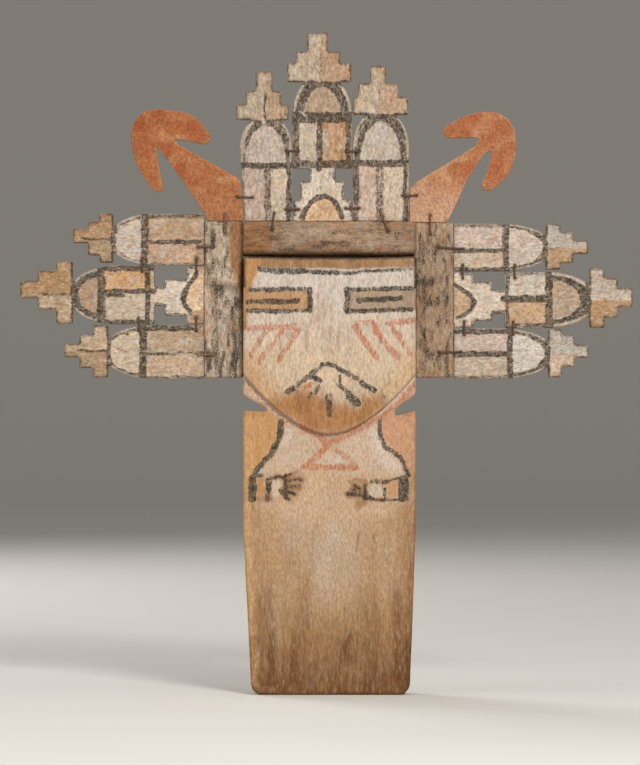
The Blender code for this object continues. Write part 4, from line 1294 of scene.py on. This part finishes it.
outline, _ = cadLoops("doll_body")
bodyBoard = {
    **body, "rim": handCut(outline, body["loopStep"], 200, body["wander"], body["snug"]), "holes": [],
    "grain": "up", "front": bodyFront, "relief": bodyRelief,
    "backRelief": boardRelief(210, "up", 1.6, 0.5),
    "extra": np.concatenate(
        [besidePath(jawLine, (-0.7, -0.3, 0.0, 0.08, 0.2, 0.38, 0.6, 0.9, 1.3, 1.8), 0.55)]
        + [besidePath(path, (-0.5, -0.25, 0.0, 0.25, 0.5), 0.4) for path, _, _ in cracks]
    ),
}
bodyLook = paintedCottonwood("rubbed_cottonwood_body", {
    "woodLight": "#D0A778", "woodDark": "#9A6B3E", "stain": "#663A12", "worn": "#DCCDBA",
    "warm": "#FFF9EE", "rosy": "#FFF7F5", "fibre": 0.5, "flake": 1.5, "flakeStretch": 4.2,
    "stretch": 8.0, "mottle": 0.18, "patches": 0.5, "grain": 0.9, "grit": 0.24, "haze": 0.9,
    "wearSoftness": 0.6, "level": 0.94,
})
piece = buildBoard("doll_body_carved", bodyBoard, bodyPaint, bodyLook)
place(piece, "doll_body", "bare_cottonwood")
print("body")


# Rawhide ties

# strand: its radius (mm). apart: from the middle line to each turn. over: how far one turn
# climbs over the other. inset: how far inside the CAD loop's ends the strand turns.
tie = {
    "strand": 0.5, "apart": 0.34, "over": 0.3, "drift": 0.25, "lift": 0.04, "inset": 0.62,
    "squared": 0.24, "steps": 64, "sides": 9, "twist": 22,
}


def rawhideThong():
    # Dried rawhide: hard, slightly glossy twisted strands, dark with handling
    material = bpy.data.materials.new("rawhide_thong")
    material.use_nodes = True
    tree = material.node_tree
    shader = tree.nodes["Principled BSDF"]
    strand = addNode(tree, "Attribute", attribute_name="strand").outputs["Vector"]
    tone = addNode(tree, "Attribute", attribute_name="fill").outputs["Color"]
    spot = addNode(tree, "Mapping", {0: strand, 3: (2.4, 2.4, 0.35)}).outputs[0]
    lines = addNode(tree, "TexNoise", {"Vector": spot, "Scale": 1.0, "Detail": 3.0}).outputs[0]
    share = addNode(tree, "MapRange", {0: lines, 1: 0.35, 2: 0.65}).outputs[0]
    dark = addNode(
        tree, "MixRGB", {"Fac": 1.0, "Color1": tone, "Color2": (0.32, 0.3, 0.28, 1)},
        blend_type="MULTIPLY",
    ).outputs[0]
    colour = addNode(tree, "MixRGB", {"Fac": share, "Color1": dark, "Color2": tone}).outputs[0]
    tree.links.new(colour, shader.inputs["Base Color"])
    bump = addNode(tree, "Bump", {"Strength": 1.0, "Distance": 0.2 * mm, "Height": share})
    tree.links.new(bump.outputs[0], shader.inputs["Normal"])
    shader.inputs["Roughness"].default_value = 0.62
    return material


def buildTie(name, start, end, colour, seed, material):
    # Two turns of a round strand through both holes. Each turn is a rounded rectangle,
    # |c|^squared and |s|^squared, and the two cross over each other in front and behind.
    length = np.linalg.norm(end - start)
    along = (end - start) / length
    sideways = np.array([-along[1], along[0]])
    front = boardStock["front"] - tie["lift"] - tie["strand"]
    back = boardStock["back"] + tie["lift"] + tie["strand"]
    run = np.linspace(0, 1, tie["steps"], endpoint=False)
    cos, sin = np.cos(run * 2 * math.pi), np.sin(run * 2 * math.pi)
    s = length / 2 * (1 + np.sign(cos) * np.abs(cos) ** tie["squared"])
    y = (front + back) / 2 - (back - front) / 2 * np.sign(sin) * np.abs(sin) ** tie["squared"]
    ahead = np.roll(np.stack([s, y], 1), -1, 0) - np.roll(np.stack([s, y], 1), 1, 0)
    ahead /= np.linalg.norm(ahead, axis=1, keepdims=True)
    around = np.arange(tie["sides"]) * 2 * math.pi / tie["sides"]
    i, j = np.meshgrid(np.arange(tie["steps"]), np.arange(tie["sides"]), indexing="ij")
    i2, j2, n = (i + 1) % tie["steps"], (j + 1) % tie["sides"], tie["sides"]
    quads = np.stack([i * n + j, i2 * n + j, i2 * n + j2, i * n + j2], 2).reshape(-1, 4)
    quadRows, places, strands = [], [], []
    for side in (-1, 1):
        cross = side * tie["apart"] * np.clip(cos * 1.6, -1, 1)
        over = tie["over"] * (side > 0) * np.exp(-(cos / 0.5) ** 2)
        drift = tie["drift"] * (softNoise(run * 6, run + 9, seed + side) - 0.5)
        radius = tie["strand"] * (0.85 + 0.35 * softNoise(run * 11, run, seed + 2 * side))
        up = radius[:, None] * np.sin(around) + over[:, None]
        wide = radius[:, None] * np.cos(around) + (cross + drift)[:, None]
        onward = s[:, None] - ahead[:, 1:2] * up
        deep = y[:, None] + ahead[:, 0:1] * up
        x = start[0] + along[0] * onward + sideways[0] * wide
        z = start[1] + along[1] * onward + sideways[1] * wide
        co = np.stack([x, deep, z], 2).reshape(-1, 3)
        spread = co - co.mean(0)
        volume = (np.cross(spread[quads[:, 0]], spread[quads[:, 1]]) * spread[quads[:, 2]]).sum()
        quadRows.append((quads if volume > 0 else quads[:, ::-1]) + len(places) * len(co))
        places.append(co)
        turned = (run * tie["twist"])[:, None] + 0 * up
        strands.append(np.stack([wide, up, turned], 2).reshape(-1, 3))
    co, quads = np.concatenate(places), np.concatenate(quadRows)
    fill = np.tile(rgba(colour), (len(co), 1))
    attributes = {"strand": np.concatenate(strands), "fill": fill}
    return addPiece(name, co * mm, quads.tolist(), material, attributes)


tieColours = {
    "tie_crosspiece_left": "#6B5230", "tie_crosspiece_right": "#8A5E3C",
    "tie_horn_left_foot": "#9C6C50", "tie_horn_right_foot": "#8C5838",
    "tie_left_post_lower": "#A5825E", "tie_left_post_upper": "#7A6048",
}
thongLook = rawhideThong()
tieNodes = sorted(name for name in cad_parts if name.startswith("tie_"))
for number, node in enumerate(tieNodes):
    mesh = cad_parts[node].data
    co = np.array([v.co for v in mesh.vertices])[:, [0, 2]] * 1000
    center = co.mean(0)
    heading = np.linalg.svd(co - center, full_matrices=False)[2][0]
    reach = np.ptp((co - center) @ heading) / 2 - tie["inset"]
    start, end = center - heading * reach, center + heading * reach
    colour = tieColours.get(node, "#6E4F38")
    piece = buildTie(node + "_thong", start, end, colour, 400 + number, thongLook)
    place(piece, node, "rawhide")
print("ties", len(tieNodes))


# Floor, backdrop, light and camera

stage = {"floor": 5.2, "bend": 1.6, "sides": 96, "colour": "#DEDAD3"}  # metres


def buildStage():
    # A round floor whose rim bends up a quarter circle, as a profile turned about the doll:
    # radius and height on each ring, and the angle along it. It closes at one middle point.
    turn = np.linspace(0, math.pi / 2, 17)
    radius = np.concatenate([[1.5], stage["floor"] + stage["bend"] * np.sin(turn)])
    height = np.concatenate([[0.0], stage["bend"] * (1 - np.cos(turn))])
    angle = np.arange(stage["sides"]) * 2 * math.pi / stage["sides"]
    rings = np.stack([np.outer(radius, np.cos(angle)), np.outer(radius, np.sin(angle)),
                      np.repeat(height[:, None], stage["sides"], 1)], 2)
    co = np.concatenate([rings.reshape(-1, 3), [[0.0, 0.0, 0.0]]])
    i, j = np.meshgrid(np.arange(len(radius) - 1), np.arange(stage["sides"]), indexing="ij")
    here, beside = i * stage["sides"] + j, i * stage["sides"] + (j + 1) % stage["sides"]
    quads = np.stack([here, here + stage["sides"], beside + stage["sides"], beside], 2)
    around = np.arange(stage["sides"])
    fan = np.stack([around, np.roll(around, -1), np.full(stage["sides"], len(co) - 1)], 1)
    material = bpy.data.materials.new("matte_paper_sweep")
    material.use_nodes = True
    shader = material.node_tree.nodes["Principled BSDF"]
    shader.inputs["Base Color"].default_value = rgba(stage["colour"])
    shader.inputs["Roughness"].default_value = 0.9
    faces = quads.reshape(-1, 4).tolist() + fan.tolist()
    addPiece("studio_floor", co, faces, material, {})


lights = {
    "key": {"from": (0.62, -1.8, 1.15), "size": 0.45, "watts": 33.0},
    "fill": {"from": (-2.0, -0.8, 0.5), "size": 1.2, "watts": 11.0},
    "top": {"from": (0.1, -0.2, 1.9), "size": 1.2, "watts": 6.0},
    "back": {"from": (-1.3, 1.9, 1.2), "size": 1.0, "watts": 26.0},
}
view = {"distance": 3.0, "aimPixel": (320.0, 382.5), "frameHeight": 765, "sensor": 36.0}


def aim(thing, target):
    heading = np.array(target) - np.array(thing.location)
    flat = math.hypot(heading[0], heading[1])
    thing.rotation_euler = (math.pi / 2 + math.atan2(heading[2], flat), 0,
                            math.atan2(-heading[0], heading[1]))


def buildLights():
    for name, spec in lights.items():
        data = bpy.data.lights.new(name, "AREA")
        data.size = spec["size"]
        data.energy = spec["watts"]
        lamp = bpy.data.objects.new(name, data)
        lamp.location = spec["from"]
        aim(lamp, (0.0, 0.0, 0.2))
        bpy.context.scene.collection.objects.link(lamp)
    world = bpy.data.worlds.new("studio")
    world.use_nodes = True
    world.node_tree.nodes["Background"].inputs[0].default_value = rgba("#F2F0EC")
    world.node_tree.nodes["Background"].inputs[1].default_value = 0.28
    bpy.context.scene.world = world


def buildCamera():
    # Straight on: the lens that makes the frame's height at the doll's front plane as tall
    # as the photograph's, sensor * distance / height
    data = bpy.data.cameras.new("camera")
    height = view["frameHeight"] * photo["mmPerPixel"] * mm
    data.sensor_width = view["sensor"]
    data.lens = view["sensor"] * view["distance"] / height
    camera = bpy.data.objects.new("camera", data)
    middle = spots(view["aimPixel"])[0] * mm
    camera.location = (middle[0], -view["distance"] + boardStock["front"] * mm, middle[1])
    camera.rotation_euler = (math.pi / 2, 0, 0)
    bpy.context.scene.collection.objects.link(camera)
    bpy.context.scene.camera = camera


buildStage()
buildLights()
buildCamera()
bpy.context.scene.view_settings.view_transform = "Standard"
print("stage")
